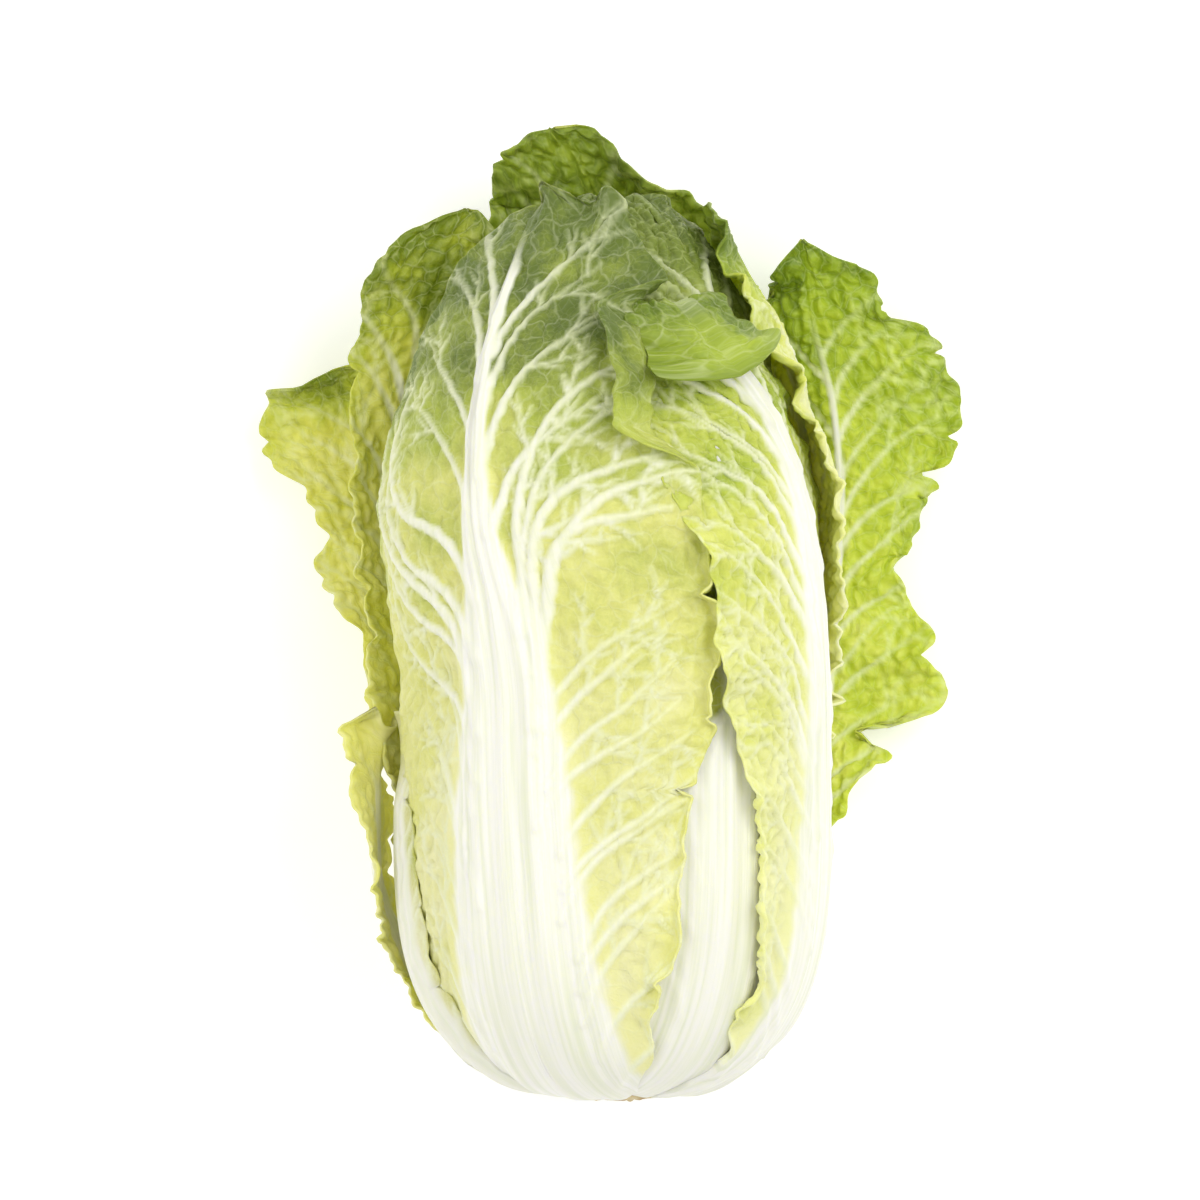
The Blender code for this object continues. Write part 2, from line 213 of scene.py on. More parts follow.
def new_group(name: str, inputs: dict[str, str]) -> tuple[Any, Any]:
    """Starts a Geometry Nodes group that takes one shape and gives one.

    Args:
        name: the group's name.
        inputs: the kind of socket of each further input.

    Returns:
        The group and its inputs' sockets.
    """
    tree = bpy.data.node_groups.new(name, "GeometryNodeTree")
    for title, kind in {"Geometry": "Geometry", **inputs}.items():
        tree.interface.new_socket(title, in_out="INPUT", socket_type="NodeSocket" + kind)
    tree.interface.new_socket("Geometry", in_out="OUTPUT", socket_type="NodeSocketGeometry")
    return tree, add(tree, "NodeGroupInput").outputs


def end_group(tree: Any, shape: Any, finish: Any) -> None:
    """Ends a group: makes its instances real, gives them their finish and hands them out."""
    real = add(tree, "GeometryNodeRealizeInstances", {"Geometry": shape}).outputs[0]
    dressed = add(tree, "GeometryNodeSetMaterial", {"Geometry": real, "Material": finish})
    add(tree, "NodeGroupOutput", {"Geometry": dressed.outputs[0]})


def smooth(low: float, high: float, value: Array) -> Array:
    """A smooth step from 0 at low to 1 at high."""
    part = np.clip((value - low) / (high - low), 0, 1)
    return part * part * (3 - 2 * part)


def wander(where: Array, gap: float, rng: np.random.Generator) -> Array:
    """Smooth random wandering between -1 and 1 along a line, with a knot every gap."""
    start = float(np.min(where)) - gap
    values = rng.uniform(-1, 1, int((float(np.max(where)) - start) / gap) + 3)
    place = (where - start) / gap
    index = place.astype(int)
    part = place - index
    part = part * part * (3 - 2 * part)
    return values[index] * (1 - part) + values[index + 1] * part


def swell(along: Array, across: Array, gap: float, rng: np.random.Generator) -> Array:
    """Smooth random hills about gap apart over a surface, roughly between -1 and 1."""
    total = np.zeros(np.broadcast(along, across).shape)
    for turn in rng.uniform(0, 2 * math.pi, 7):
        pitch = 2 * math.pi / (gap * rng.uniform(0.7, 1.5))
        total += np.sin((along * math.cos(turn) + across * math.sin(turn)) * pitch + rng.uniform(0, 6.28))
    return total / 3.2


def follow(values: Array, knots: Array, where: Array) -> Array:
    """Reads a smooth curve that doesn't overshoot its points.

    Args:
        values: the curve's values at its knots.
        knots: rising places.
        where: the places to read.

    Returns:
        A value for each place.
    """
    gaps = np.diff(knots)
    rise = np.diff(values) / gaps
    tangents = np.concatenate([[rise[0]], np.zeros(len(values) - 2), [rise[-1]]])
    for i in range(1, len(values) - 1):
        if rise[i - 1] * rise[i] > 0:
            tangents[i] = 2 * rise[i - 1] * rise[i] / (rise[i - 1] + rise[i])
    index = np.clip(np.searchsorted(knots, where, side="right") - 1, 0, len(knots) - 2)
    gap = knots[index + 1] - knots[index]
    t = (where - knots[index]) / gap
    return (
        (2 * t**3 - 3 * t**2 + 1) * values[index]
        + (t**3 - 2 * t**2 + t) * gap * tangents[index]
        + (3 * t**2 - 2 * t**3) * values[index + 1]
        + (t**3 - t**2) * gap * tangents[index + 1]
    )


def new_object(name: str, mesh: Any) -> Any:
    """Puts a mesh in the scene as an object at the origin."""
    made = bpy.data.objects.new(name, mesh)
    bpy.context.scene.collection.objects.link(made)
    return made


def apply_modifiers(item: Any) -> None:
    """Turns an object's evaluated shape into its plain mesh and removes its modifiers."""
    bpy.context.view_layer.update()
    evaluated = item.evaluated_get(bpy.context.evaluated_depsgraph_get())
    plain = bpy.data.meshes.new_from_object(evaluated)
    item.modifiers.clear()
    item.data = plain
    plain.name = item.name


def run_group(item: Any, name: str, tree: Any, values: dict[str, Any]) -> None:
    """Shapes an object with a Geometry Nodes group.

    Args:
        item: the object.
        name: the modifier's name.
        tree: the group.
        values: a value for each of its inputs but the shape.
    """
    modifier = item.modifiers.new(name, "NODES")
    modifier.node_group = tree
    for socket in tree.interface.items_tree:
        if socket.in_out == "INPUT" and socket.name in values:
            modifier[socket.identifier] = values[socket.name]
    apply_modifiers(item)


def write_fields(mesh: Any, place: Array, fields: dict[str, Array]) -> None:
    """Stores on a mesh's points what the relief and the finish read.

    Args:
        mesh: the mesh.
        place: each point's place on the leaf.
        fields: the named measures.
    """
    layer = mesh.attributes.new("leaf_place", "FLOAT_VECTOR", "POINT")
    layer.data.foreach_set("vector", place.reshape(-1).astype(np.float32))
    for name, values in fields.items():
        layer = mesh.attributes.new(name, "FLOAT", "POINT")
        layer.data.foreach_set("value", np.ascontiguousarray(values, np.float32).reshape(-1))


def unit(vectors: Array) -> Array:
    """The same directions, one long."""
    return vectors / (np.linalg.norm(vectors, axis=-1, keepdims=True) + 1e-12)


def rolled(past: Array, radius: float, turn: float) -> tuple[Array, Array, Array]:
    """Rolls a strip round a radius and then lets it run straight.

    Args:
        past: how far each point is past the roll's start.
        radius: the roll's radius.
        turn: how far it rolls, in degrees.

    Returns:
        The angle at each point, and how far the point comes to lie ahead of the start and above it.
    """
    bend = np.minimum(past / radius, math.radians(turn))
    rest = past - bend * radius
    ahead = radius * np.sin(bend) + rest * np.cos(bend)
    return bend, ahead, radius * (1 - np.cos(bend)) + rest * np.sin(bend)


def vertex_array(mesh: Any) -> Array:
    """A mesh's points as rows of x, y and z."""
    points = np.zeros(len(mesh.vertices) * 3)
    mesh.vertices.foreach_get("co", points)
    return points.reshape(-1, 3)


def declare(piece: Any, slot: str, *nodes: str) -> None:
    """Makes a finished piece ride on the body and stand for its CAD nodes."""
    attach(piece, BODY)
    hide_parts(*nodes)
    LOG.info("%s: %d faces, stands for %s", piece.name, len(piece.data.polygons), ", ".join(nodes))


# --- The head that the leaves lie on -------------------------------------------------------------


@dataclass(frozen=True)
class Head:
    """The heart's outline and axis, read back from the CAD heart, which is drawn inset."""

    inset: float = 0.002
    widest_y: float = -0.030
    drawn_tip: float = 0.158
    butt_power: float = 5.0
    tip_power: float = 2.6

    def sizes(self) -> tuple[float, float, float]:
        """Half the head's width, half its depth and the height of its axis."""
        low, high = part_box("heart")
        return (high.x - low.x) / 2 + self.inset, (high.z - low.z) / 2 + self.inset, (high.z + low.z) / 2

    def outline(self) -> tuple[Array, Array, Array, Array, Array]:
        """The outline from butt to tip.

        Returns:
            Share of the way along, y, share of the radius, and the outward normal along y and out.
        """
        low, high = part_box("heart")
        grown = 1 / (1 - self.inset / self.drawn_tip)
        reach = np.sin(np.linspace(0, math.pi / 2, 400))
        butt = np.sqrt(1 - reach**self.butt_power)
        tip = np.sqrt(1 - reach**self.tip_power)
        back = self.widest_y - low.y * grown
        ahead = high.y * grown - self.widest_y
        y = np.concatenate([self.widest_y - back * reach[::-1], self.widest_y + ahead * reach[1:]])
        share = np.concatenate([butt[::-1], tip[1:]])
        radius = share * self.sizes()[0]
        along = np.concatenate([[0], np.cumsum(np.hypot(np.diff(y), np.diff(radius)))])
        slope_y, slope_r = np.gradient(y, along), np.gradient(radius, along)
        size = np.hypot(slope_y, slope_r)
        return along / along[-1], y, share, -slope_r / size, slope_y / size

    def point(self, along: float, angle: float, out: float) -> tuple[float, float, float]:
        """A point out from the heart.

        Args:
            along: share of the outline from the butt.
            angle: degrees from the top, positive towards +X.
            out: distance out from the heart.

        Returns:
            x, y and z.
        """
        fractions, ys, shares, normal_y, normal_r = OUTLINE
        width, depth, axis_z = SIZES
        y = np.interp(along, fractions, ys) + out * np.interp(along, fractions, normal_y)
        share = np.interp(along, fractions, shares)
        lift = out * np.interp(along, fractions, normal_r)
        turn = math.radians(angle)
        return (share * width + lift) * math.sin(turn), y, axis_z + (share * depth + lift) * math.cos(turn)


HEAD = Head()
OUTLINE = HEAD.outline()
SIZES = HEAD.sizes()
FLATNESS = SIZES[1] / SIZES[0]
AXIS_Z = SIZES[2]


# --- Finishes ------------------------------------------------------------------------------------

DRIFT_PITCH = 0.11  # how quickly the nets' wandering turns, per millimetre
DRIFT = 9.0  # how far it goes, in millimetres
NET_LINE = 0.075  # the width of the net's lines, as a share of a cell
# On loose leaves the finish paints shade on these slopes beside the net's lines, and its bump dips there.
HOLLOW_LINE = 0.3  # the width of the slopes beside them
FINE_SIZE = 2.2  # the fine mesh's cells, in millimetres
FINE_LINE = 0.13
VEIN_COVER = 0.92  # how much of a drawn vein's colour shows
STREAK_PITCH = (0.012, 0.5, 0.0)  # a rib's streaks run long and narrow
STREAK_HEIGHT = 2.2
GREEN_STOPS = (0.36, 0.7)  # where the blade is fresh and where it is deep green, from pale at 0 to dark at 1


@dataclass(frozen=True)
class LeafFinish:
    """Living cabbage leaf: waxy, soft-lit flesh whose green thins to white along its veins.

    The eye gets a pale net of veins, cloudy patches of green between them and a dull waxy gloss. On loose
    leaves painted shade darkens the green beside the net's lines, and it greys the rib's grooves along with
    the strands' own tint.
    Patterns are in millimetres on the leaf: the net's cells are 6 to 9 mm and its finest mesh 2 mm.
    """

    name: str
    pale: str
    fresh: str
    deep: str
    dark: str
    vein: str = "EEF2CE"
    rib: str = "FAF9EE"
    groove_tint_and_shade: str = "EAEDD6"
    # The rib's colour in its grooves: partly its strands' greenish tint, partly painted shade.
    net_size: float = 6.5
    net: float = 0.3
    fine_net: float = 0.14
    # How much shade is painted into the green beside the net's lines, and how far the bump dips there.
    valley_shade_and_dip: float = 0.0
    gloss: float = 0.42
    bump: float = 0.3

    def material(self) -> Any:
        """Builds the material, which reads the leaf's own place, vein, rib and tone."""
        made, tree, shader = new_material(self.name)
        place = add(tree, "ShaderNodeAttribute", attribute_name="leaf_place").outputs["Vector"]
        vein, rib, tone = (
            add(tree, "ShaderNodeAttribute", attribute_name=name).outputs["Fac"]
            for name in ("vein", "rib", "tone")
        )
        moved = drifted(tree, place)
        net = self.lines(tree, moved, self.net_size, NET_LINE)
        fine = self.lines(tree, moved, FINE_SIZE, FINE_LINE)
        hollow = self.lines(tree, moved, self.net_size, HOLLOW_LINE)
        speck = noise(tree, place, 0.9, 2.0)
        streak = noise(tree, shift(tree, "MULTIPLY", place, STREAK_PITCH), 1.0, 3.0)
        green = self.green(tree, place, tone, speck, hollow)
        netted = self.mixed(tree, fine, self.fine_net, green, linear(self.vein))
        netted = self.mixed(tree, net, self.net, netted, linear(self.vein))
        veined = self.mixed(tree, vein, VEIN_COVER, netted, linear(self.vein))
        # Partly painted shade, partly the strands' own tint: the rib greys where its streaks are low, in the
        # grooves of its relief.
        grooved = ranged(tree, streak, (0.3, 0.6), (1.0, 0.0))
        ribbed = self.mixed(tree, grooved, 1.0, linear(self.rib), linear(self.groove_tint_and_shade))
        height = reckon(tree, "MULTIPLY", net, 0.5)
        height = reckon(tree, "MULTIPLY_ADD", fine, 0.25, height)
        height = reckon(tree, "MULTIPLY_ADD", speck, 0.5, height)
        height = reckon(tree, "MULTIPLY_ADD", hollow, -10 * self.valley_shade_and_dip, height)
        ridges = reckon(tree, "MULTIPLY", streak, STREAK_HEIGHT)
        relief = {"Factor": rib, 2: height, 3: ridges}
        height = add(tree, "ShaderNodeMix", relief, data_type="FLOAT").outputs[0]
        bump = add(tree, "ShaderNodeBump", {"Height": height, "Strength": self.bump, "Distance": 0.0006})
        inputs = {
            "Base Color": self.mixed(tree, rib, 1.0, veined, ribbed),
            "Normal": bump.outputs["Normal"],
            "Roughness": ranged(tree, speck, (0.0, 1.0), (self.gloss - 0.07, self.gloss + 0.1)),
            "IOR": 1.42,
            "Subsurface Weight": 0.5,
            "Subsurface Radius": (1.0, 1.0, 0.45),
            "Subsurface Scale": 0.0024,
        }
        feed(tree, shader, inputs)
        return made

    def green(self, tree: Any, place: Any, tone: Any, speck: Any, hollow: Any) -> Any:
        """The blade's green, in clouds and specks, with painted shade beside the net's lines.

        Args:
            tree: the material's nodes.
            place: the place on the leaf.
            tone: how green the leaf is there.
            speck: a fine noise.
            hollow: a broad net, 1 near its lines, where shade is painted darker.

        Returns:
            The colour's socket.
        """
        patch = reckon(tree, "MULTIPLY_ADD", noise(tree, place, 0.07, 4.0), 0.5, tone)
        patch = reckon(tree, "MULTIPLY_ADD", speck, 0.16, patch)
        patch = reckon(tree, "SUBTRACT", patch, 0.33)
        # Painted shade: the green darkens on the slopes beside the net's lines, as if the blisters' hollows
        # were shaded.
        patch = reckon(tree, "MULTIPLY_ADD", hollow, self.valley_shade_and_dip, patch)
        made = add(tree, "ShaderNodeValToRGB", {"Fac": patch})
        made.color_ramp.elements[0].color = linear(self.pale)
        made.color_ramp.elements[1].color = linear(self.dark)
        for position, code in zip(GREEN_STOPS, (self.fresh, self.deep)):
            made.color_ramp.elements.new(position).color = linear(code)
        return made.outputs["Color"]

    def lines(self, tree: Any, where: Any, size: float, width: float) -> Any:
        """A net of thin lines round cells of a size in millimetres, 1 on a line and 0 off it."""
        return ranged(tree, cell_edges(tree, where, 1 / size), (0.0, width), (1.0, 0.0), "SMOOTHSTEP")

    def mixed(self, tree: Any, mask: Any, share: float, under: Any, over: Any) -> Any:
        """One colour over another, by a share of a mask."""
        part = reckon(tree, "MULTIPLY", mask, share)
        return add(tree, "ShaderNodeMix", {"Factor": part, 6: under, 7: over}, data_type="RGBA").outputs[2]


@dataclass(frozen=True)
class CutStemFinish:
    """Cut cabbage stem: moist pale flesh that has dried and browned, with a darker rim and fibres."""

    name: str = "cut_stem_flesh"
    flesh: str = "EFEACF"
    dried: str = "DDCB9C"
    scab: str = "B08D58"

    def material(self) -> Any:
        """Builds the material, patterned at 1.5 to 8 mm on Object coordinates."""
        made, tree, shader = new_material(self.name)
        where = add(tree, "ShaderNodeTexCoord").outputs["Object"]
        stain = noise(tree, where, 180.0, 4.0)
        out = shift(tree, "ADD", where, (0.0, 0.0, -AXIS_Z))
        out = shift(tree, "MULTIPLY", out, (1.0, 0.0, 1.0))
        out = add(tree, "ShaderNodeVectorMath", {0: out}, operation="LENGTH").outputs["Value"]
        worn = reckon(tree, "ADD", stain, ranged(tree, out, (0.011, 0.02), (-0.04, 0.2)))
        fibre = add(tree, "ShaderNodeTexVoronoi", {"Vector": where, "Scale": 650.0}).outputs["Distance"]
        ramp = add(tree, "ShaderNodeValToRGB", {"Fac": worn})
        ramp.color_ramp.elements[0].position = 0.38
        ramp.color_ramp.elements[0].color = linear(self.flesh)
        ramp.color_ramp.elements[1].position = 0.9
        ramp.color_ramp.elements[1].color = linear(self.scab)
        ramp.color_ramp.elements.new(0.62).color = linear(self.dried)
        bump = add(tree, "ShaderNodeBump", {"Height": fibre, "Strength": 0.5, "Distance": 0.0005})
        inputs = {
            "Base Color": ramp.outputs["Color"],
            "Normal": bump.outputs["Normal"],
            "Roughness": ranged(tree, stain, (0.0, 1.0), (0.5, 0.85)),
            "IOR": 1.4,
        }
        feed(tree, shader, inputs)
        return made


FRONT = LeafFinish(
    "wrapper_leaf_front", "F3F1B0", "DFE080", "AEBB4C", "64762A",
    vein="EAEFC4", net_size=8.5, net=0.16, fine_net=0.07,
)
WRAPPER = LeafFinish(
    "wrapper_leaf_side", "F3F4B2", "D9E068", "AEC03E", "6C8226",
    vein="EAEFBE", net_size=8.0, net=0.18, fine_net=0.08,
)
PETIOLE = LeafFinish("wrapper_leaf_petiole", "F4F3C4", "DDE26C", "BECB45", "7C9128")
TORN = LeafFinish("wrapper_leaf_torn", "E6E4B0", "D6D592", "BDC368", "8E9C44", rib="F1F0E2", net=0.16)
LOOSE = LeafFinish(
    "outer_leaf_fresh", "DFE66C", "C6D542", "A0B526", "6A8414",
    vein="DAE694", net_size=6.0, net=0.22, fine_net=0.08, valley_shade_and_dip=0.16,
)
LOOSE_PALE = LeafFinish(
    "outer_leaf_pale", "EEEB9E", "E0E06C", "BFC844", "748616",
    vein="E4E8A8", net_size=6.0, net=0.24, fine_net=0.08, valley_shade_and_dip=0.1,
)
DARK = LeafFinish(
    "outer_leaf_dark", "C6CE58", "98A831", "7C9022", "526410",
    vein="B9C65C", net_size=7.0, net=0.18, fine_net=0.06, valley_shade_and_dip=0.2,
)
INNER = LeafFinish("inner_leaf", "DEE07C", "B4BE54", "8A9A3A", "5F7026", vein="C6D288")


# --- The relief of a leaf, in Geometry Nodes -----------------------------------------------------


def relief_tree() -> Any:
    """Builds the tree that puffs a leaf between its veins.

    The blisters follow a wandering net like the finish's: its lines stay and its cells sink inwards.

    Returns:
        The node group, with inputs Blister Size, Blister Height, Crinkle Size, Crinkle Height and Finish.
    """
    names = ("Blister Size", "Blister Height", "Crinkle Size", "Crinkle Height")
    tree, given = new_group("leaf_relief", {**dict.fromkeys(names, "Float"), "Finish": "Material"})
    place, loose = (
        add(tree, "GeometryNodeInputNamedAttribute", {"Name": name}, data_type=kind).outputs[0]
        for name, kind in (("leaf_place", "FLOAT_VECTOR"), ("looseness", "FLOAT"))
    )
    pitch = reckon(tree, "DIVIDE", 1.0, given["Blister Size"])
    edges = cell_edges(tree, drifted(tree, place), pitch)
    dome = ranged(tree, edges, (0.0, 0.36), (0.0, 1.0), "SMOOTHSTEP")
    sunk = reckon(tree, "MULTIPLY", dome, given["Blister Height"])
    pitch = reckon(tree, "DIVIDE", 1.0, given["Crinkle Size"])
    fold = reckon(tree, "SUBTRACT", noise(tree, place, pitch, 2.0), 0.5)
    fold = reckon(tree, "MULTIPLY", fold, given["Crinkle Height"])
    lift = reckon(tree, "SUBTRACT", fold, sunk)
    lift = reckon(tree, "MULTIPLY", lift, loose)
    offset = shift(tree, "SCALE", add(tree, "GeometryNodeInputNormal").outputs[0], lift)
    shaped = add(tree, "GeometryNodeSetPosition", {"Geometry": given["Geometry"], "Offset": offset})
    end_group(tree, shaped.outputs[0], given["Finish"])
    return tree


RELIEF = relief_tree()


# --- Leaves --------------------------------------------------------------------------------------

# The rib's thickness at shares of its half-width
RIB_SHARES = (0, 0.3, 0.55, 0.8, 1, 1.3)
RIB_HEIGHTS = (1, 0.97, 0.85, 0.6, 0.3, 0)
# A margin's wandering: how far apart and how deep its bays are, in millimetres
BAYS = ((28, 2.2), (12, 1.5), (5.2, 0.6), (2.9, 0.4))
TIP_LEFT = 0.06  # the width of a leaf's very tip, against the drawn width
REACHES = (0.2, 1.4)  # the least and most that a margin reaches, against the drawn width
CURL_EASE = 8.0  # a curl comes in over this much of a margin, either side of its end
VEIN_STEP = 1.6  # millimetres between a side vein's points
VEIN_WANDER = 0.16  # how far its lean wanders, in radians
VEIN_TAPER = 0.72  # the share of its width that it loses by its end
BRANCH_SIZE = 0.62  # a branch's size against its parent's
THINNEST = 0.42  # the least half-width of a branch, in millimetres
VEIN_END = 75.0  # veins fade over the last millimetres of a leaf


@dataclass(frozen=True)
class SideVeins:
    """A run of side veins that leave the midrib one after another.

    Leans are degrees from the midrib's direction, at the start, middle and end of a vein.
    """

    side: Side
    start_y: float
    stop_y: float
    spacing: float
    leans: tuple[float, ...]
    length: float
    width: float
    height: float
    run_in: float
    branches: float = 11.0


def both_sides(*measures: Any) -> tuple[SideVeins, SideVeins]:
    """The same run of side veins on both sides of a leaf, with SideVeins' measures after the side."""
    return SideVeins(Side.FIRST, *measures), SideVeins(Side.LAST, *measures)


@dataclass(frozen=True)
class Curl:
    """A strip of margin that rolls over, between two y's, outwards when turn is positive.

    Lengths are in millimetres and the turn in degrees. With no side it is the leaf's end that folds.
    """

    side: Side | None
    low_y: float
    high_y: float
    width: float
    radius: float
    turn: float


@dataclass(frozen=True)
class Notch:
    """A bite out of a margin, in millimetres along y: a negative depth is a lobe."""

    side: Side
    y: float
    depth: float
    width: float


@dataclass(frozen=True)
class Habit:
    """How a blade lies: its big waves, its frilled margin, its blisters and its torn edge, in millimetres."""

    swell: float = 1.2
    swell_gap: float = 55.0
    ruffle: float = 2.0
    ruffle_gap: float = 22.0
    ruffle_depth: float = 14.0
    lift: float = 0.0
    ragged: float = 1.0
    tears: int = 0
    blister_size: float = 6.5
    blister: float = 0.7
    crinkle_size: float = 16.0
    crinkle: float = 2.0
    tip_round: float = 14.0


@dataclass
class Leaf:
    """One leaf: its rails, rib, veins, habit and colouring.

    Ribs are (y, half-width) pairs and tones (y, tone) pairs along the midrib, in millimetres: a tone is
    0 where the blade is palest and 1 where it is darkest, and the margin is edge_tone darker. Lobes are
    (place across, height, width) waves of the leaf's end. The rib fades over the last rib_fade
    millimetres, the blade is as thick as blade says, and the mesh's cells are as wide as cell says.
    """

    name: str
    slot: str
    sections: list[OnHead | Free]
    ribs: tuple[Pair, ...]
    rib_thickness: float
    finish: LeafFinish
    tones: tuple[Pair, ...]
    habit: Habit
    veins: tuple[SideVeins, ...] = ()
    curls: tuple[Curl, ...] = ()
    notches: tuple[Notch, ...] = ()
    lobes: tuple[tuple[float, float, float], ...] = ()
    cell: float = 1.3
    blade: float = 0.8
    edge_tone: float = 0.12
    rib_fade: float = 34.0
    seed: int = 1

    def points(self) -> Array:
        """The three rails' points in space, one row for each cross-section that is drawn through."""
        held = [s for s in self.sections if isinstance(s, OnHead)]
        knots = np.array([s.along for s in held])
        places = np.linspace(knots[0], knots[-1], 1 + math.ceil((knots[-1] - knots[0]) / STEP_ALONG))
        tracks = [
            [follow(np.array([s[rail][i] for s in held]), knots, places) for i in (0, 1)]
            for rail in (1, 2, 3)
        ]
        rows = [
            [HEAD.point(place, angles[row], outs[row]) for angles, outs in tracks]
            for row, place in enumerate(places)
        ]
        for section in self.sections[len(held) :]:
            rows.append([(x * MM, section[0] * MM, z * MM) for x, z in section[1:]])
        return np.array(rows)

    def rails(self, places: Array) -> Array:
        """The rails about the head's axis, as if the head were round.

        Args:
            places: shares of the way along the midrib.

        Returns:
            An array of rail, (y, angle, radius) and place.
        """
        points = self.points()
        points[..., 2] = AXIS_Z + (points[..., 2] - AXIS_Z) / FLATNESS
        angle = np.arctan2(points[..., 0], points[..., 2] - AXIS_Z)
        angle = np.unwrap(np.unwrap(angle, axis=1), axis=0)
        radius = np.hypot(points[..., 0], points[..., 2] - AXIS_Z)
        step = np.linalg.norm(np.diff(points[:, 1], axis=0), axis=1)
        knots = np.concatenate([[0], np.cumsum(step)])
        knots /= knots[-1]
        return np.array(
            [
                [follow(track[:, rail], knots, places) for track in (points[..., 1], angle, radius)]
                for rail in range(3)
            ]
        )

    def surface(self, rails: Array, reach: Array) -> Array:
        """The sheet's points.

        Args:
            rails: what rails() gives for each row.
            reach: for each row and column, from -1 at the first margin to 1 at the last.

        Returns:
            An array of row, column and (x, y, z).
        """
        side = np.where(reach < 0, 0, 2)
        share = np.abs(reach)
        row = np.arange(reach.shape[0])[:, None]
        y, angle, radius = (
            rails[1, i][:, None] * (1 - share) + rails[side, i, row] * share for i in range(3)
        )
        return np.stack([radius * np.sin(angle), y, AXIS_Z + FLATNESS * radius * np.cos(angle)], axis=-1)

    def margins(self, rails: Array, along: Array, half: Array, rng: np.random.Generator) -> Array:
        """How far each margin reaches on each row, torn and bitten.

        Args:
            rails: what rails() gives.
            along: each row's place along the midrib.
            half: the two half-widths on each row.
            rng: the leaf's random numbers.

        Returns:
            For each side and row, the margin's reach, 1 where it is as drawn.
        """
        y = rails[1, 0] / MM
        reach = []
        for index, side in enumerate(Side):
            growth = np.zeros(len(along))
            for gap, size in BAYS:
                growth += size * self.habit.ragged * wander(along, gap, rng)
            for notch in self.notches:
                if notch.side is side:
                    growth -= notch.depth * np.exp(-(((y - notch.y) / notch.width) ** 2))
            for _ in range(self.habit.tears):
                spot, depth, width = rng.uniform(50, along[-1] - 6), rng.uniform(2, 7), rng.uniform(0.9, 2.6)
                growth -= depth * np.exp(-np.abs((along - spot) / width) ** 1.5)
            reach.append(np.clip(1 + growth / half[index], *REACHES))
        return np.array(reach)

    def rib_half(self, mid_y: Array) -> Array:
        """The rib's half-width in millimetres at each y of the midrib."""
        ys, halves = zip(*self.ribs)
        return np.interp(mid_y, ys, halves)

    def vein_paths(self, along: Array, mid_y: Array, rng: np.random.Generator) -> list[Vein]:
        """Draws the side veins and their branches.

        Args:
            along: the midrib's place on each row.
            mid_y: its y in millimetres.
            rng: the leaf's random numbers.

        Returns:
            For each vein its (along, across, share left) points, its half-width and its height.
        """
        paths = []
        for run in self.veins:
            y = run.start_y
            while y < run.stop_y:
                here = float(np.interp(y, mid_y, along)) - run.run_in
                rib = float(self.rib_half(np.array([np.interp(here, along, mid_y)]))[0])
                leans = np.radians(np.array(run.leans) + rng.normal(0, 3, len(run.leans)))
                size = rng.uniform(0.8, 1.2)
                start = (here, run.side.value * rib * rng.uniform(0.5, 0.8))
                path = self.path(start, run.side.value, leans, run.length * rng.uniform(0.9, 1.1), rng)
                paths.append((path, run.width * size, run.height * size))
                paths += self.branch(path, run, size, 2, rng)
                y += run.spacing * rng.uniform(0.8, 1.2)
        return paths

    def path(
        self, start: Pair, side: float, leans: Array, length: float, rng: np.random.Generator
    ) -> Array:
        """One vein's points.

        Args:
            start: along and across.
            side: -1 or 1, the way it leans.
            leans: its lean from the midrib at even shares of its length.
            length: its length.
            rng: the leaf's random numbers.

        Returns:
            Rows of along, across and the share of the vein's width left.
        """
        count = max(4, int(length / VEIN_STEP))
        share = np.linspace(0, 1, count)
        lean = np.interp(share, np.linspace(0, 1, len(leans)), leans)
        lean = lean + VEIN_WANDER * wander(share * length, 14.0, rng)
        step = length / (count - 1)
        along = start[0] + np.concatenate([[0], np.cumsum(np.cos(lean[1:]) * step)])
        across = start[1] + side * np.concatenate([[0], np.cumsum(np.sin(lean[1:]) * step)])
        return np.stack([along, across, 1 - VEIN_TAPER * share], axis=1)

    def branch(
        self, parent: Array, run: SideVeins, size: float, depth: int, rng: np.random.Generator
    ) -> list[Vein]:
        """Draws the branches of a vein, and theirs.

        Args:
            parent: the vein's points.
            run: its measures.
            size: its size against the run's.
            depth: how many more times it divides.
            rng: the leaf's random numbers.

        Returns:
            The branches, as vein_paths() gives them.
        """
        made = []
        first = depth == 2
        step = float(np.hypot(*np.diff(parent[:2, :2], axis=0)[0]))
        gap = run.branches * (1.0 if first else 0.6)
        place = gap * rng.uniform(0.5, 1.0) + (run.run_in + 10 if first else 0)
        turn = 1 if rng.uniform() < 0.5 else -1
        while place < (len(parent) - 3) * step:
            index = int(place / step)
            ahead = parent[index + 1, :2] - parent[index, :2]
            heading = math.atan2(ahead[1], ahead[0]) + turn * math.radians(rng.uniform(36, 58))
            length = rng.uniform(0.9, 1.7) * gap * (1.25 if first else 0.9)
            bend = heading - turn * math.radians(rng.uniform(5, 25))
            path = self.path(tuple(parent[index, :2]), 1.0, np.array([heading, bend]), length, rng)
            width = size * run.width * parent[index, 2] * BRANCH_SIZE
            made.append((path, max(width, THINNEST), run.height * size * parent[index, 2] * 0.5))
            if depth > 1:
                made += self.branch(path, run, size * BRANCH_SIZE, depth - 1, rng)
            turn = -turn
            place += gap * rng.uniform(0.7, 1.3)
        return made

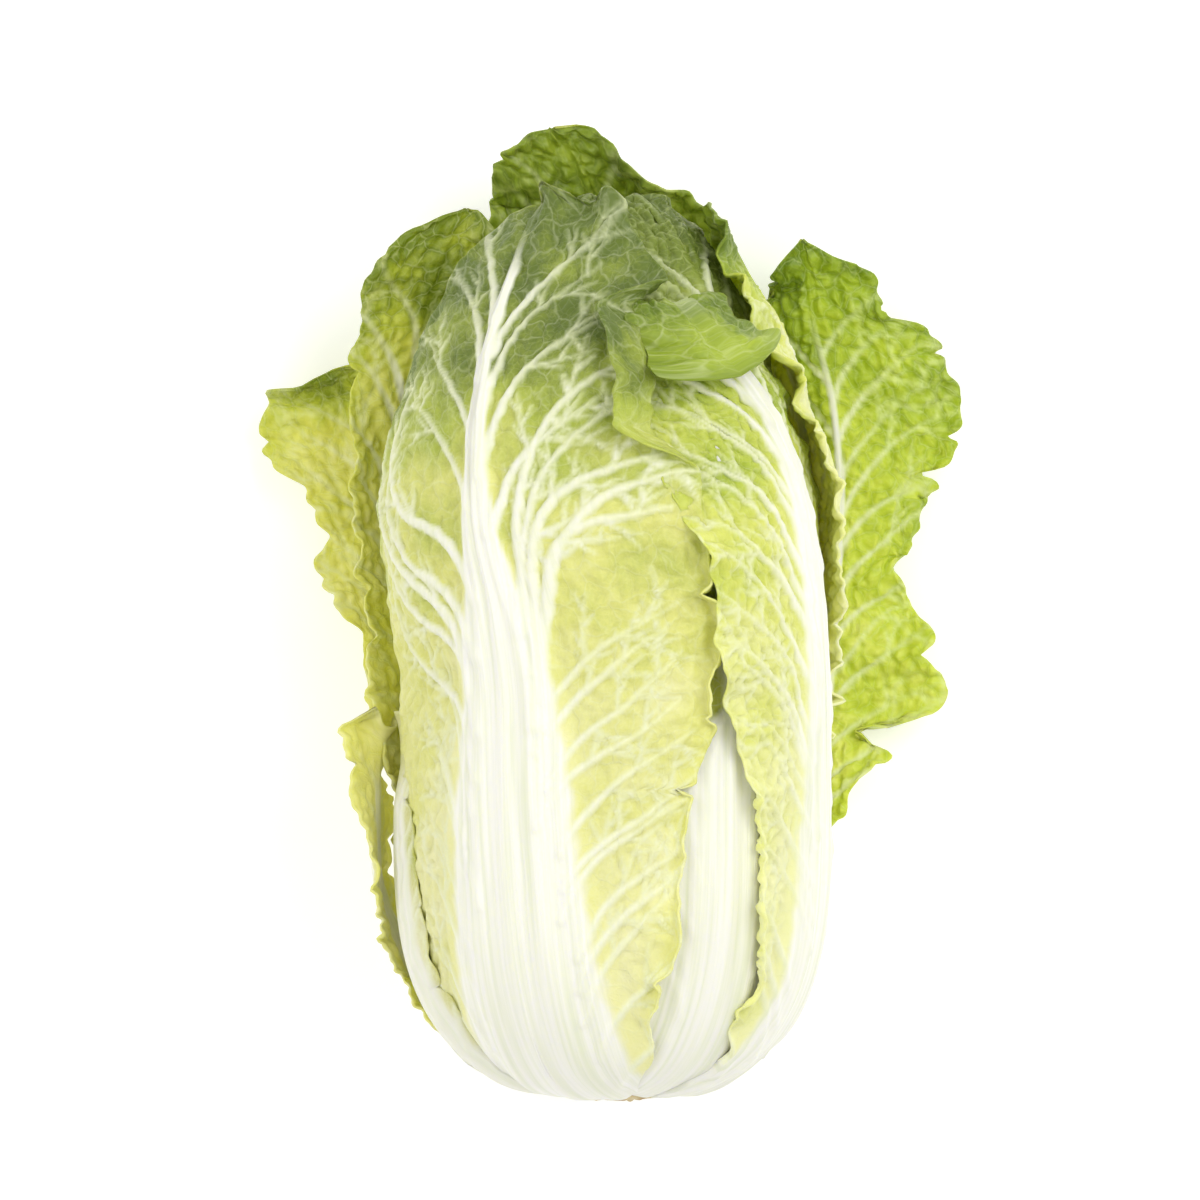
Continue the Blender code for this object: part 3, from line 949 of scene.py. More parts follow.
    def vein_field(
        self, along: Array, across: Array, paths: list[Vein]
    ) -> tuple[Array, Array, Array]:
        """Reads the veins over the whole sheet.

        Args:
            along: each point's place along the midrib.
            across: its place across.
            paths: what vein_paths() gives.

        Returns:
            How veined each point is, how much of it is a bold white vein, and how far its veins stand
            out in millimetres.
        """
        white, bold, high = np.zeros(along.size), np.zeros(along.size), np.zeros(along.size)
        flat = np.stack([along.ravel(), across.ravel()], axis=1)
        for path, width, height in paths:
            reach = width * 1.6 + 1.2
            low, top = path[:, :2].min(0) - reach, path[:, :2].max(0) + reach
            near = np.nonzero(np.all((flat > low) & (flat < top), axis=1))[0]
            if not near.size:
                continue
            spot = flat[near][:, None, :]
            start, step = path[:-1, :2], np.diff(path[:, :2], axis=0)
            t = np.clip(((spot - start) * step).sum(-1) / (step**2).sum(-1), 0, 1)
            gap = np.linalg.norm(spot - (start + t[..., None] * step), axis=-1)
            best = gap.argmin(1)
            gap, left = gap[np.arange(len(near)), best], path[best, 2]
            half = width * left
            mask = np.clip((half + 0.85 - gap) / 1.4, 0, 1) * np.sqrt(left)
            white[near] = np.maximum(white[near], mask)
            bold[near] = np.maximum(bold[near], mask * np.clip((half - 0.35) / 0.7, 0, 1))
            dome = height * np.sqrt(left) * np.exp(-((gap / (half * 1.15 + 0.25)) ** 2))
            high[near] = np.maximum(high[near], dome)
        return white.reshape(along.shape), bold.reshape(along.shape), high.reshape(along.shape)

    def lie(self, sheet: Array, along: Array, across: Array, edge: Array, rng: np.random.Generator) -> Array:
        """Moves the sheet into its waves, frills, lobes and rolls.

        Args:
            sheet: the points, as surface() gives them.
            along: each row's place along the midrib.
            across: each point's place across.
            edge: each point's distance from its margin.
            rng: the leaf's random numbers.

        Returns:
            The moved points.
        """
        habit = self.habit
        down, over = unit(np.gradient(sheet, axis=0)), unit(np.gradient(sheet, axis=1))
        out = unit(np.cross(over, down))
        grid = np.broadcast_to(along[:, None], across.shape)
        free = np.clip(np.abs(across) / 30, 0, 1)
        lift = habit.swell * swell(grid, across, habit.swell_gap, rng) * free * smooth(0, 40, grid)
        frill = np.exp(-edge / habit.ruffle_depth) * smooth(0, 60, grid)
        slide = np.zeros(across.shape)
        for side in Side:
            half = smooth(0, 7, across * side.value)
            phase = grid * 2 * math.pi / habit.ruffle_gap + 2.4 * wander(grid, 34.0, rng)
            small = grid * 2 * math.pi / (habit.ruffle_gap * 0.37) + 2.0 * wander(grid, 12.0, rng)
            strength = 0.75 + 0.45 * wander(grid, 30.0, rng)
            wave = (0.45 * np.sin(phase) + 1.1 * wander(grid, habit.ruffle_gap * 0.42, rng)) * strength
            fine = 0.15 * np.sin(small) + 0.5 * wander(grid, habit.ruffle_gap * 0.2, rng)
            wave += fine * np.exp(-edge / 4)
            lift += half * frill * (habit.ruffle * wave + habit.lift)
            slide += half * frill * 0.35 * habit.ruffle * np.cos(phase) * strength
        moved = sheet + (out * lift[..., None] + down * slide[..., None]) * MM
        for across_at, height, width in self.lobes:
            push = height * np.exp(-(((across - across_at) / width) ** 2)) * np.exp((grid - along[-1]) / 9)
            moved = moved + (0.5 * down + 0.8 * out) * push[..., None] * MM
        for curl in self.curls:
            if curl.side is None:
                moved = self.flap(moved, curl, along, across, (down, out, lift))
            else:
                moved = moved + self.roll(curl, sheet[:, :, 1] / MM, across, edge, (over, out))
        return moved

    def roll(self, curl: Curl, y: Array, across: Array, edge: Array, lay: tuple[Array, Array]) -> Array:
        """Rolls a strip of margin over.

        Args:
            curl: the roll.
            y: each point's y in millimetres.
            across: each point's place across.
            edge: each point's distance from its margin.
            lay: the sheet's directions across and outwards.

        Returns:
            How far each point moves, in metres.
        """
        over, out = lay
        begun = smooth(curl.low_y - CURL_EASE, curl.low_y + CURL_EASE, y)
        ended = smooth(curl.high_y - CURL_EASE, curl.high_y + CURL_EASE, y)
        span = begun * (1 - ended)
        past = np.where(np.sign(across) == curl.side.value, curl.width * span - edge, 0)
        past = np.clip(past, 0, None)
        _, ahead, up = rolled(past, curl.radius, abs(curl.turn))
        way = over * curl.side.value
        return (way * (ahead - past)[..., None] + out * (math.copysign(1, curl.turn) * up)[..., None]) * MM

    def flap(
        self, sheet: Array, curl: Curl, along: Array, across: Array, lay: tuple[Array, Array, Array]
    ) -> Array:
        """Folds the leaf's end over.

        Args:
            sheet: the points.
            curl: the fold, whose width is the flap's length.
            along: each row's place along the midrib.
            across: each point's place across.
            lay: the sheet's directions along and outwards, and how far it is lifted in millimetres.

        Returns:
            The points with the flap folded.
        """
        down, out, lift = lay
        fold = int(np.searchsorted(along, along[-1] - curl.width))
        middle = int(np.argmin(np.abs(across[0])))
        past = (along[fold:] - along[fold])[:, None, None]
        bend, ahead, up = rolled(past, curl.radius, curl.turn)
        base = across[fold].copy()
        base[np.abs(base) < 1e-6] = 1
        aside = (sheet[fold] - sheet[fold, middle])[None] * (across[fold:] / base)[..., None]
        facing = out[fold] * np.cos(bend) - down[fold] * np.sin(bend)
        wave = facing * (lift[fold:] - lift[fold])[..., None] * MM
        folded = sheet.copy()
        folded[fold:] = (
            sheet[fold, middle] + aside + down[fold] * (ahead * MM) + out[fold] * (up * MM) + wave
        )
        return folded

    def lay_out(self, rng: np.random.Generator) -> tuple[Array, Array, Array, Array, Array]:
        """Lofts the sheet within its torn margins and rounded tip.

        Args:
            rng: the leaf's random numbers.

        Returns:
            The points, each row's place along the midrib and its y there, and each point's place across
            and distance from its margin, in millimetres.
        """
        rough_rows, rough_half = 90, 20
        shares = np.tile(np.linspace(-1, 1, 2 * rough_half + 1), (rough_rows, 1))
        rough = self.surface(self.rails(np.linspace(0, 1, rough_rows)), shares)
        length = np.linalg.norm(np.diff(rough[:, rough_half], axis=0), axis=1).sum() / MM
        spans = np.linalg.norm(np.diff(rough, axis=1), axis=2) / MM
        first, last = (
            max(6, math.ceil(part.sum(1).max() / self.cell))
            for part in (spans[:, :rough_half], spans[:, rough_half:])
        )
        rows = math.ceil(length / self.cell)
        rails = self.rails(np.linspace(0, 1, rows))
        reach = np.concatenate([np.linspace(-1, 0, first + 1), np.linspace(0, 1, last + 1)[1:]])
        reach = np.tile(reach, (rows, 1))
        sheet = self.surface(rails, reach)
        steps = np.linalg.norm(np.diff(sheet[:, first], axis=0), axis=1)
        along = np.concatenate([[0], np.cumsum(steps)]) / MM
        width = np.linalg.norm(np.diff(sheet, axis=1), axis=2) / MM
        half = np.array([width[:, :first].sum(1), width[:, first:].sum(1)])
        limits = self.margins(rails, along, half, rng)
        limit = np.where(reach < 0, limits[0][:, None], limits[1][:, None])
        rounding = np.clip((along[-1] - along) / self.habit.tip_round, 0, 1)[:, None]
        rounding = TIP_LEFT + (1 - TIP_LEFT) * np.sqrt(1 - (1 - rounding) ** 2.2)
        reach = reach * (1 + (limit - 1) * np.abs(reach) ** 1.5) * rounding
        sheet = self.surface(rails, reach)
        steps = np.linalg.norm(np.diff(sheet, axis=1), axis=2) / MM
        across = np.concatenate([np.zeros((rows, 1)), np.cumsum(steps, axis=1)], axis=1)
        across -= across[:, first][:, None]
        edge = np.where(reach < 0, across - across[:, :1], across[:, -1:] - across)
        return sheet, along, rails[1, 0] / MM, across, edge

    def build(self) -> Any:
        """Makes the leaf's plain mesh object, with its finish and measures.

        Returns:
            The object, at the origin.
        """
        rng = np.random.default_rng(self.seed)
        flat, along, mid_y, across, edge = self.lay_out(rng)
        grid = np.broadcast_to(along[:, None], across.shape)
        to_tip = (along[-1] - along)[:, None]
        rising = np.maximum.accumulate(mid_y + np.arange(len(along)) * 1e-6)
        white, bold, high = self.vein_field(grid, across, self.vein_paths(along, rising, rng))
        fading = 0.5 + 0.5 * smooth(0, VEIN_END, to_tip)
        white, bold = white * fading, bold * fading
        sheet = self.lie(flat, along, across, edge, rng)
        ribs = self.rib_half(mid_y)[:, None]
        x = np.abs(across) / ribs
        ending = smooth(self.rib_fade * 0.3, self.rib_fade, to_tip)
        left = 0.25 + 0.75 * (1 - along[:, None] / along[-1]) ** 0.8
        profile = np.interp(x, RIB_SHARES, RIB_HEIGHTS)
        grooves = 0.42 * np.cos(across / ribs * 13 + 0.7 * np.sin(along[:, None] / 40)) * smooth(1.1, 0.7, x)
        rib = smooth(1.13, 0.93, x + 0.04 * swell(grid, across, 12, rng)) * ending
        rib = np.maximum(rib, 0.85 * bold)
        raised = self.rib_thickness * left * profile * ending
        raised = raised + (high + grooves * ending) * np.minimum(1, edge / 3)
        thick = self.blade + np.clip(raised, 0, None)
        ys, tones = zip(*self.tones)
        tone = np.interp(flat[..., 1] / MM, ys, tones) + self.edge_tone * np.exp(-edge / 7)
        tone = tone + 0.10 * swell(grid, across, 38, rng)
        tone = np.clip(tone - 0.10 * np.exp(-np.clip(x - 1, 0, 9) * ribs / 7), 0, 1)
        loose = smooth(1.0, 1.7, x) * (1 - 0.85 * white) * np.minimum(1, edge / 1.5) * smooth(0, 30, grid)
        place = np.stack([grid + 31.7 * self.seed, across, np.zeros_like(across)], axis=-1)
        fields = {"vein": white, "rib": rib, "tone": tone, "looseness": loose}
        return self.mesh(sheet, thick, place, fields)

    def mesh(self, sheet: Array, thick: Array, place: Array, fields: dict[str, Array]) -> Any:
        """Turns the sheet into a thick leaf.

        Args:
            sheet: the points by row and column.
            thick: the thickness at each point, in millimetres.
            place: each point's place on the leaf.
            fields: the named measures that the relief and the finish read.

        Returns:
            The leaf's object.
        """
        rows, columns = sheet.shape[:2]
        index = np.arange(rows * columns).reshape(rows, columns)
        quads = np.stack([index[:-1, :-1], index[:-1, 1:], index[1:, 1:], index[1:, :-1]], axis=-1)
        mesh = bpy.data.meshes.new(self.name)
        mesh.from_pydata(sheet.reshape(-1, 3).tolist(), [], quads.reshape(-1, 4).tolist())
        write_fields(mesh, place, fields)
        mesh.shade_smooth()
        leaf = new_object(self.name + "_dressed", mesh)
        relief = {
            "Blister Size": self.habit.blister_size,
            "Blister Height": self.habit.blister * MM,
            "Crinkle Size": self.habit.crinkle_size,
            "Crinkle Height": self.habit.crinkle * MM,
            "Finish": material_of(self.finish),
        }
        run_group(leaf, "relief", RELIEF, relief)
        most = float(thick.max())
        group = leaf.vertex_groups.new(name="thickness")
        for number, share in enumerate((thick / most).reshape(-1).tolist()):
            group.add([number], share, "REPLACE")
        shell = leaf.modifiers.new("thickness", "SOLIDIFY")
        shell.thickness = most * MM
        shell.offset = 1
        shell.vertex_group = group.name
        apply_modifiers(leaf)
        points = vertex_array(leaf.data)
        points[:, 1] = np.maximum(points[:, 1], CUT_Y)
        points[:, 2] = np.maximum(points[:, 2], 0.0)
        leaf.data.vertices.foreach_set("co", points.reshape(-1))
        leaf.vertex_groups.clear()
        leaf.data.update()
        return leaf


MATERIALS: dict[str, Any] = {}


def material_of(finish: Any) -> Any:
    """A finish's material, made once."""
    if finish.name not in MATERIALS:
        MATERIALS[finish.name] = finish.material()
    return MATERIALS[finish.name]


def front_leaf() -> Leaf:
    """The leaf that faces up, whose broad white rib divides into arching veins."""
    return Leaf(
        name="front_leaf",
        slot="wrapper_leaf",
        sections=[
            OnHead(BUTT_ALONG, (-56, BASE), (-24, BASE), (6, BASE)),
            OnHead(0.10, (-60, LOW), (-25, LOW), (9, MID)),
            OnHead(0.15, (-70, LOW), (-25, LOW), (12, HIGH)),
            OnHead(0.25, (-78, LOW), (-26, LOW), (14, HIGH)),
            OnHead(0.38, (-82, LOW), (-28, LOW), (18, HIGH)),
            OnHead(0.47, (-84, LOW), (-29, LOW), (25, HIGH)),
            OnHead(0.55, (-88, HIGH), (-32, MID), (26, HIGH)),
            OnHead(0.64, (-94, HIGH + RIB), (-37, HIGH), (19, HIGH)),
            OnHead(0.74, (-92, HIGH + RIB), (-41, HIGH), (11, HIGH + BLADE)),
            OnHead(0.84, (-80, HIGH + RIB), (-43, HIGH), (7, HIGH + BLADE)),
            OnHead(0.93, (-64, HIGH + RIB), (-46, HIGH + RIB), (4, HIGH + RIB)),
        ],
        ribs=(
            (-170, 30), (-138, 27), (-87, 22), (-50, 19), (-10, 14),
            (5, 9), (40, 4.5), (66, 3.2), (85, 2.2), (128, 1.1),
        ),
        rib_thickness=6.0,
        finish=FRONT,
        tones=((-165, 0.05), (-60, 0.22), (-10, 0.34), (40, 0.52), (70, 0.8), (95, 1.0), (130, 1.05)),
        habit=Habit(
            swell=1.0, ruffle=1.2, lift=0.8, tears=4, blister=1.1, blister_size=7.5, crinkle=1.8, tip_round=10
        ),
        veins=(
            SideVeins(Side.LAST, -150, -24, 10.5, (24, 50, 56), 66, 1.0, 0.9, 8),
            SideVeins(Side.LAST, -14, 4, 9.0, (4, 10, 34, 72, 84), 108, 1.9, 1.5, 26),
            SideVeins(Side.LAST, 8, 20, 11.0, (4, 8, 22, 50, 66), 104, 1.8, 1.4, 30),
            SideVeins(Side.LAST, 44, 112, 17.0, (8, 24, 46, 56), 66, 1.3, 1.0, 22),
            SideVeins(Side.FIRST, -150, -52, 11.0, (14, 26, 36), 50, 1.0, 0.8, 8),
            SideVeins(Side.FIRST, -44, -16, 14.0, (5, 26, 60, 44, 2, -26), 98, 1.7, 1.3, 14),
            SideVeins(Side.FIRST, 0, 34, 24.0, (8, 40, 72, 30, -16, -30), 98, 1.9, 1.4, 18),
            SideVeins(Side.FIRST, 44, 112, 20.0, (10, 34, 52, 40), 56, 1.2, 1.0, 14),
        ),
        curls=(
            Curl(Side.LAST, 48, 101, 21, 2.4, 172),
            Curl(Side.LAST, -40, 18, 7, 2.2, 110),
            Curl(Side.LAST, -140, -60, 5, 2.5, 90),
        ),
        notches=(Notch(Side.LAST, 76, -20, 34), Notch(Side.LAST, -10, -6, 22), Notch(Side.LAST, -95, -5, 35)),
        lobes=((8, 12, 5), (32, 24, 7)),
        edge_tone=0.04,
        cell=0.98,
        seed=3,
    )


def lower_middle_leaf() -> Leaf:
    """The leaf under the front and right ones, whose broad petiole shows between them."""
    return Leaf(
        name="lower_middle_leaf",
        slot="wrapper_leaf",
        sections=[
            OnHead(BUTT_ALONG, (6, BASE), (30, BASE), (54, BASE)),
            OnHead(0.15, (3, LOW), (31, LOW), (58, LOW)),
            OnHead(0.30, (0, LOW), (32, LOW), (62, LOW)),
            OnHead(0.50, (-4, LOW), (32, LOW), (62, LOW)),
            OnHead(0.66, (0, LOW), (31, LOW), (58, LOW)),
            OnHead(0.78, (12, LOW), (30, LOW), (48, LOW)),
        ],
        ribs=((-170, 23), (-100, 21), (-55, 15), (-42, 10), (-35, 2.5), (90, 2)),
        rib_thickness=4.6,
        finish=PETIOLE,
        tones=((-160, 0.0), (-60, 0.12), (-38, 0.5), (80, 0.6)),
        habit=Habit(swell=0.3, ruffle=0.2, ragged=0.4, blister=0.4, crinkle=0.6),
        veins=both_sides(-140, 60, 13, (14, 34, 46), 50, 0.9, 0.6, 10),
        cell=1.6,
        seed=5,
    )


def right_leaf() -> Leaf:
    """The leaf whose rib runs up the right side, and whose wavy blade lies over towards the front."""
    return Leaf(
        name="right_leaf",
        slot="wrapper_leaf",
        sections=[
            OnHead(BUTT_ALONG, (42, BASE), (66, BASE), (90, BASE)),
            OnHead(0.10, (42, MID), (66, MID), (91, LOW)),
            OnHead(0.15, (43, HIGH), (67, MID), (95, LOW)),
            OnHead(0.26, (43, HIGH + BLADE), (68, MID), (99, LOW)),
            OnHead(0.36, (39, HIGH + BLADE), (69, MID), (101, LOW)),
            OnHead(0.46, (32, HIGH + 3 * BLADE), (69, MID), (101, LOW)),
            OnHead(0.56, (27, HIGH + 4 * BLADE), (67, MID), (99, LOW)),
            OnHead(0.66, (15, HIGH + BLADE), (62, MID), (94, LOW)),
            OnHead(0.75, (5, MID), (45, HIGH), (76, LOW)),
            OnHead(0.84, (1, MID), (20, HIGH + BLADE), (34, MID)),
            OnHead(0.92, (-1, HIGH), (12, HIGH + 2 * BLADE), (23, HIGH)),
        ],
        ribs=((-170, 23), (-120, 18), (-60, 14), (0, 11), (40, 7), (70, 3.6), (110, 1.5)),
        rib_thickness=6.0,
        finish=WRAPPER,
        tones=((-160, 0.0), (-80, 0.06), (-30, 0.2), (10, 0.38), (45, 0.54), (80, 0.72), (104, 0.96)),
        habit=Habit(
            ruffle=3.0, ruffle_gap=24, ruffle_depth=11, lift=1.2, ragged=1.3,
            blister=1.5, crinkle=3.0, tip_round=9,
        ),
        veins=(
            SideVeins(Side.FIRST, -150, -60, 11, (16, 40, 58), 50, 0.9, 0.7, 10),
            SideVeins(Side.FIRST, -56, 84, 13, (8, 26, 52, 70), 78, 1.2, 0.8, 22),
            SideVeins(Side.LAST, -140, 80, 14, (14, 30, 44), 46, 0.9, 0.6, 10),
        ),
        curls=(
            Curl(Side.FIRST, -135, -60, 5, 2.6, 70),
            Curl(None, 0, 0, 40, 3.0, 172),
        ),
        notches=(Notch(Side.FIRST, -10, -7, 45), Notch(Side.FIRST, -95, -7, 40)),
        lobes=((-14, 5, 3), (-2, -6, 4), (9, 5, 4), (20, -5, 3)),
        edge_tone=0.04,
        rib_fade=66,
        cell=0.9,
        seed=8,
    )


def ruffled_right_leaf() -> Leaf:
    """The leaf behind the right one, whose frilled margin shows past its rib and up to the tip."""
    return Leaf(
        name="ruffled_right_leaf",
        slot="wrapper_leaf",
        sections=[
            OnHead(BUTT_ALONG, (88, BASE), (110, BASE), (132, BASE)),
            OnHead(0.10, (90, MID), (110, MID), (134, LOW)),
            OnHead(0.15, (98, MID), (112, MID), (138, LOW)),
            OnHead(0.28, (101, MID), (114, MID), (142, LOW)),
            OnHead(0.40, (100, MID), (114, MID), (144, LOW)),
            OnHead(0.52, (84, HIGH + BLADE), (112, MID), (144, LOW)),
            OnHead(0.64, (77, HIGH + RIB / 2), (109, HIGH), (140, LOW)),
            OnHead(0.75, (65, HIGH + RIB / 2), (101, HIGH), (132, LOW)),
            OnHead(0.85, (50, HIGH + RIB / 2), (84, HIGH), (116, MID)),
            OnHead(0.93, (50, HIGH + 2 * RIB), (74, HIGH + RIB), (96, HIGH)),
        ],
        ribs=((-170, 20), (-80, 13), (0, 6), (60, 3), (120, 1.5)),
        rib_thickness=4.8,
        finish=WRAPPER,
        tones=((-160, 0.0), (0, 0.1), (60, 0.2), (88, 0.36), (108, 0.7), (125, 1.0)),
        edge_tone=0.0,
        rib_fade=110,
        habit=Habit(
            swell=1.6, ruffle=3.4, ruffle_gap=15, ruffle_depth=12, lift=1.5, ragged=1.5,
            blister=1.8, crinkle=3.6,
        ),
        veins=(
            SideVeins(Side.FIRST, -140, 90, 14, (14, 40, 60), 56, 1.0, 0.6, 10),
            SideVeins(Side.LAST, -140, 90, 15, (14, 40, 60), 56, 1.0, 0.6, 10),
        ),
        cell=1.3,
        seed=13,
    )


def left_leaf() -> Leaf:
    """The torn leaf up the left side, broken off halfway, whose blade lies over the front leaf's rib."""
    return Leaf(
        name="left_leaf",
        slot="wrapper_leaf",
        sections=[
            OnHead(BUTT_ALONG, (-104, BASE), (-78, BASE), (-50, BASE)),
            OnHead(0.10, (-105, LOW), (-78, MID), (-52, MID)),
            OnHead(0.15, (-108, LOW), (-82, MID), (-60, MID)),
            OnHead(0.26, (-110, LOW), (-86, MID), (-69, MID)),
            OnHead(0.36, (-110, LOW), (-88, MID), (-73, MID)),
            OnHead(0.455, (-108, LOW), (-88, MID), (-76, MID)),
        ],
        ribs=((-170, 22), (-120, 16), (-80, 13), (-40, 10)),
        rib_thickness=5.4,
        finish=TORN,
        tones=((-160, 0.05), (-110, 0.3), (-40, 0.46)),
        habit=Habit(
            swell=0.3, ruffle=0.9, ruffle_gap=16, ragged=1.2, tears=3, blister=0.8, crinkle=1.6, tip_round=5
        ),
        veins=(
            SideVeins(Side.LAST, -150, -55, 9, (16, 32, 44), 42, 0.9, 0.6, 10),
            SideVeins(Side.FIRST, -150, -55, 11, (16, 32, 44), 42, 0.9, 0.6, 10),
        ),
        lobes=((-6, 5, 3), (14, -7, 5), (24, 4, 4)),
        cell=1.2,
        seed=21,
    )


def top_back_leaf() -> Leaf:
    """The dark leaf that comes up behind the head and ends past its tip."""
    return Leaf(
        name="top_back_leaf",
        slot="outer_leaf",
        sections=[
            OnHead(BUTT_ALONG, (128, BASE), (162, BASE), (200, BASE)),
            OnHead(0.10, (129, MID), (162, MID), (200, LOW)),
            OnHead(0.18, (132, HIGH), (164, MID), (198, LOW)),
            OnHead(0.34, (134, HIGH), (166, MID), (193, LOW)),
            OnHead(0.52, (135, HIGH), (172, MID), (194, LOW)),
            OnHead(0.68, (132, HIGH), (176, MID), (200, LOW)),
            Free(88, (36, 36), (-3, 26), (-38, 34)),
            Free(122, (37, 46), (-6, 32), (-44, 42)),
            Free(140, (27, 50), (-9, 37), (-41, 47)),
            Free(154, (6, 53), (-14, 43), (-41, 53)),
            Free(164, (-8, 54), (-21, 48), (-36, 55)),
        ],
        ribs=((-170, 22), (-60, 14), (20, 7), (80, 1.6), (165, 0.8)),
        rib_thickness=4.8,
        finish=DARK,
        tones=((-160, 0.0), (40, 0.1), (100, 0.45), (130, 0.6), (165, 0.66)),
        habit=Habit(
            swell=3.2, swell_gap=36, ruffle=3.4, ruffle_gap=19, ragged=1.2, tears=4,
            blister=2.4, crinkle=6.0, tip_round=12,
        ),
        veins=both_sides(-130, 140, 17, (16, 40, 52), 64, 1.0, 0.6, 10),
        edge_tone=0.1,
        rib_fade=130,
        cell=1.1,
        seed=34,
    )


def top_left_leaf() -> Leaf:
    """The leaf that comes out past the head's left shoulder."""
    return Leaf(
        name="top_left_leaf",
        slot="outer_leaf",
        sections=[
            OnHead(BUTT_ALONG, (-166, BASE), (-130, BASE), (-99, BASE)),
            OnHead(0.10, (-166, LOW), (-130, MID), (-98, MID)),
            OnHead(0.20, (-164, LOW), (-130, MID), (-100, HIGH)),
            OnHead(0.34, (-160, LOW), (-128, MID), (-99, HIGH)),
            OnHead(0.46, (-156, LOW), (-124, MID), (-96, HIGH + RIB)),
            Free(30, (-46, 25), (-76, 33), (-91, 46)),
            Free(70, (-40, 36), (-72, 38), (-93, 47)),
            Free(98, (-36, 46), (-64, 46), (-89, 52)),
            Free(119, (-34, 54), (-57, 54), (-77, 59)),
            Free(135, (-38, 58), (-50, 59), (-62, 62)),
        ],
        ribs=((-170, 22), (-60, 10), (20, 3.0), (80, 1.4), (131, 0.8)),
        rib_thickness=4.8,
        rib_fade=100,
        finish=LOOSE_PALE,
        tones=((-160, 0.0), (20, 0.2), (60, 0.35), (90, 0.6), (110, 0.95), (131, 1.0)),
        habit=Habit(
            swell=1.8, ruffle=2.6, ruffle_gap=17, ragged=1.1, tears=5,
            blister=1.7, blister_size=5.5, crinkle=4.0, tip_round=16,
        ),
        veins=(
            SideVeins(Side.FIRST, -130, 105, 16, (16, 40, 56), 56, 1.0, 0.7, 10),
            SideVeins(Side.LAST, -130, 105, 16, (16, 36, 50), 50, 1.0, 0.7, 10),
        ),
        cell=1.3,
        seed=55,
    )


def crown_leaf(side: int) -> Leaf:
    """One of the two inner leaves that close over the heart.

    Args:
        side: -1 on the left, 1 on the right.

    Returns:
        The leaf.
    """
    sections: list[OnHead | Free] = []
    rows = (
        (BUTT_ALONG, 8, 60, 120, 0.0),
        (0.30, 4, 62, 128, 0.0),
        (0.60, 4, 58, 124, 0.0),
        (0.80, 4, 48, 110, 0.0),
        (0.92, 2, 38, 88, 0.006),
        (0.97, 0, 34, 76, 0.010),
    )
    for along, *angles, lift in rows:
        rails = [(side * angle, CROWN + lift) for angle in angles[::side]]
        sections.append(OnHead(along, rails[0], rails[1], rails[2]))
    return Leaf(
        name="crown_right_leaf" if side > 0 else "crown_left_leaf",
        slot="inner_leaf",
        sections=sections,
        ribs=((-170, 12), (0, 4), (80, 1.2), (120, 0.8)),
        rib_thickness=0.6,
        rib_fade=120,
        finish=INNER,
        tones=((-160, 0.0), (0, 0.15), (70, 0.35), (95, 0.75), (135, 1.0)),
        habit=Habit(
            swell=0.5, ruffle=1.8, ruffle_gap=14, lift=0.6, ragged=1.2, tears=3,
            blister=1.8, blister_size=5.5, crinkle=4.0, tip_round=12,
        ),
        veins=both_sides(-20, 110, 13, (16, 40, 56), 60, 0.9, 0.7, 10),
        cell=1.4,
        seed=60 + side,
    )


def right_outer_leaf() -> Leaf:
    """The large loose leaf on the right, spread flat beside the head."""
    return Leaf(
        name="right_outer_leaf",
        slot="outer_leaf",
        sections=[
            OnHead(0.10, (120, LOW), (134, LOW), (152, LOW)),
            OnHead(0.13, (120, OUTER), (135, OUTER), (155, OUTER)),
            OnHead(0.23, (112, OUTER), (129, OUTER), (158, OUTER)),
            Free(-84, (77, 36), (66, 26), (26, 8)),
            Free(-60, (86, 28), (71, 22), (26, 6)),
            Free(-32, (116, 20), (75, 20), (26, 5)),
            Free(2, (106, 18), (78, 22), (26, 5)),
            Free(32, (111, 18), (80, 24), (26, 6)),
            Free(66, (119, 22), (78, 27), (28, 9)),
            Free(95, (104, 28), (71, 31), (38, 18)),
            Free(114, (85, 36), (68, 36), (52, 30)),
            Free(126, (69, 41), (66, 41), (62, 39)),
        ],
        ribs=((-160, 18), (-80, 5), (-30, 2.6), (30, 1.8), (80, 1.4), (126, 0.8)),
        rib_thickness=4.8,
        finish=LOOSE,
        tones=((-160, 0.0), (-80, 0.14), (-30, 0.14), (10, 0.26), (50, 0.42), (90, 0.6), (126, 0.8)),
        habit=Habit(
            swell=4.0, swell_gap=44, ruffle=3.4, ruffle_depth=16, ragged=1.8, tears=10,
            blister=2.0, blister_size=5.8, crinkle=5.0, tip_round=16,
        ),
        veins=(
            SideVeins(Side.FIRST, -120, 100, 15, (26, 48, 62, 66), 62, 0.7, 0.5, 10),
            SideVeins(Side.LAST, -120, 100, 18, (26, 48, 62), 60, 0.8, 0.5, 10),
        ),
        notches=(
            Notch(Side.FIRST, 60, -4, 70),
            Notch(Side.FIRST, -46, 20, 4.0),
            Notch(Side.FIRST, 12, 5, 5),
            Notch(Side.FIRST, -14, -3, 6),
            Notch(Side.FIRST, 45, 3, 4),
            Notch(Side.FIRST, 82, 4, 5),
            Notch(Side.FIRST, 108, 6, 4),
        ),
        edge_tone=0.16,
        rib_fade=70,
        cell=0.95,
        seed=89,
    )


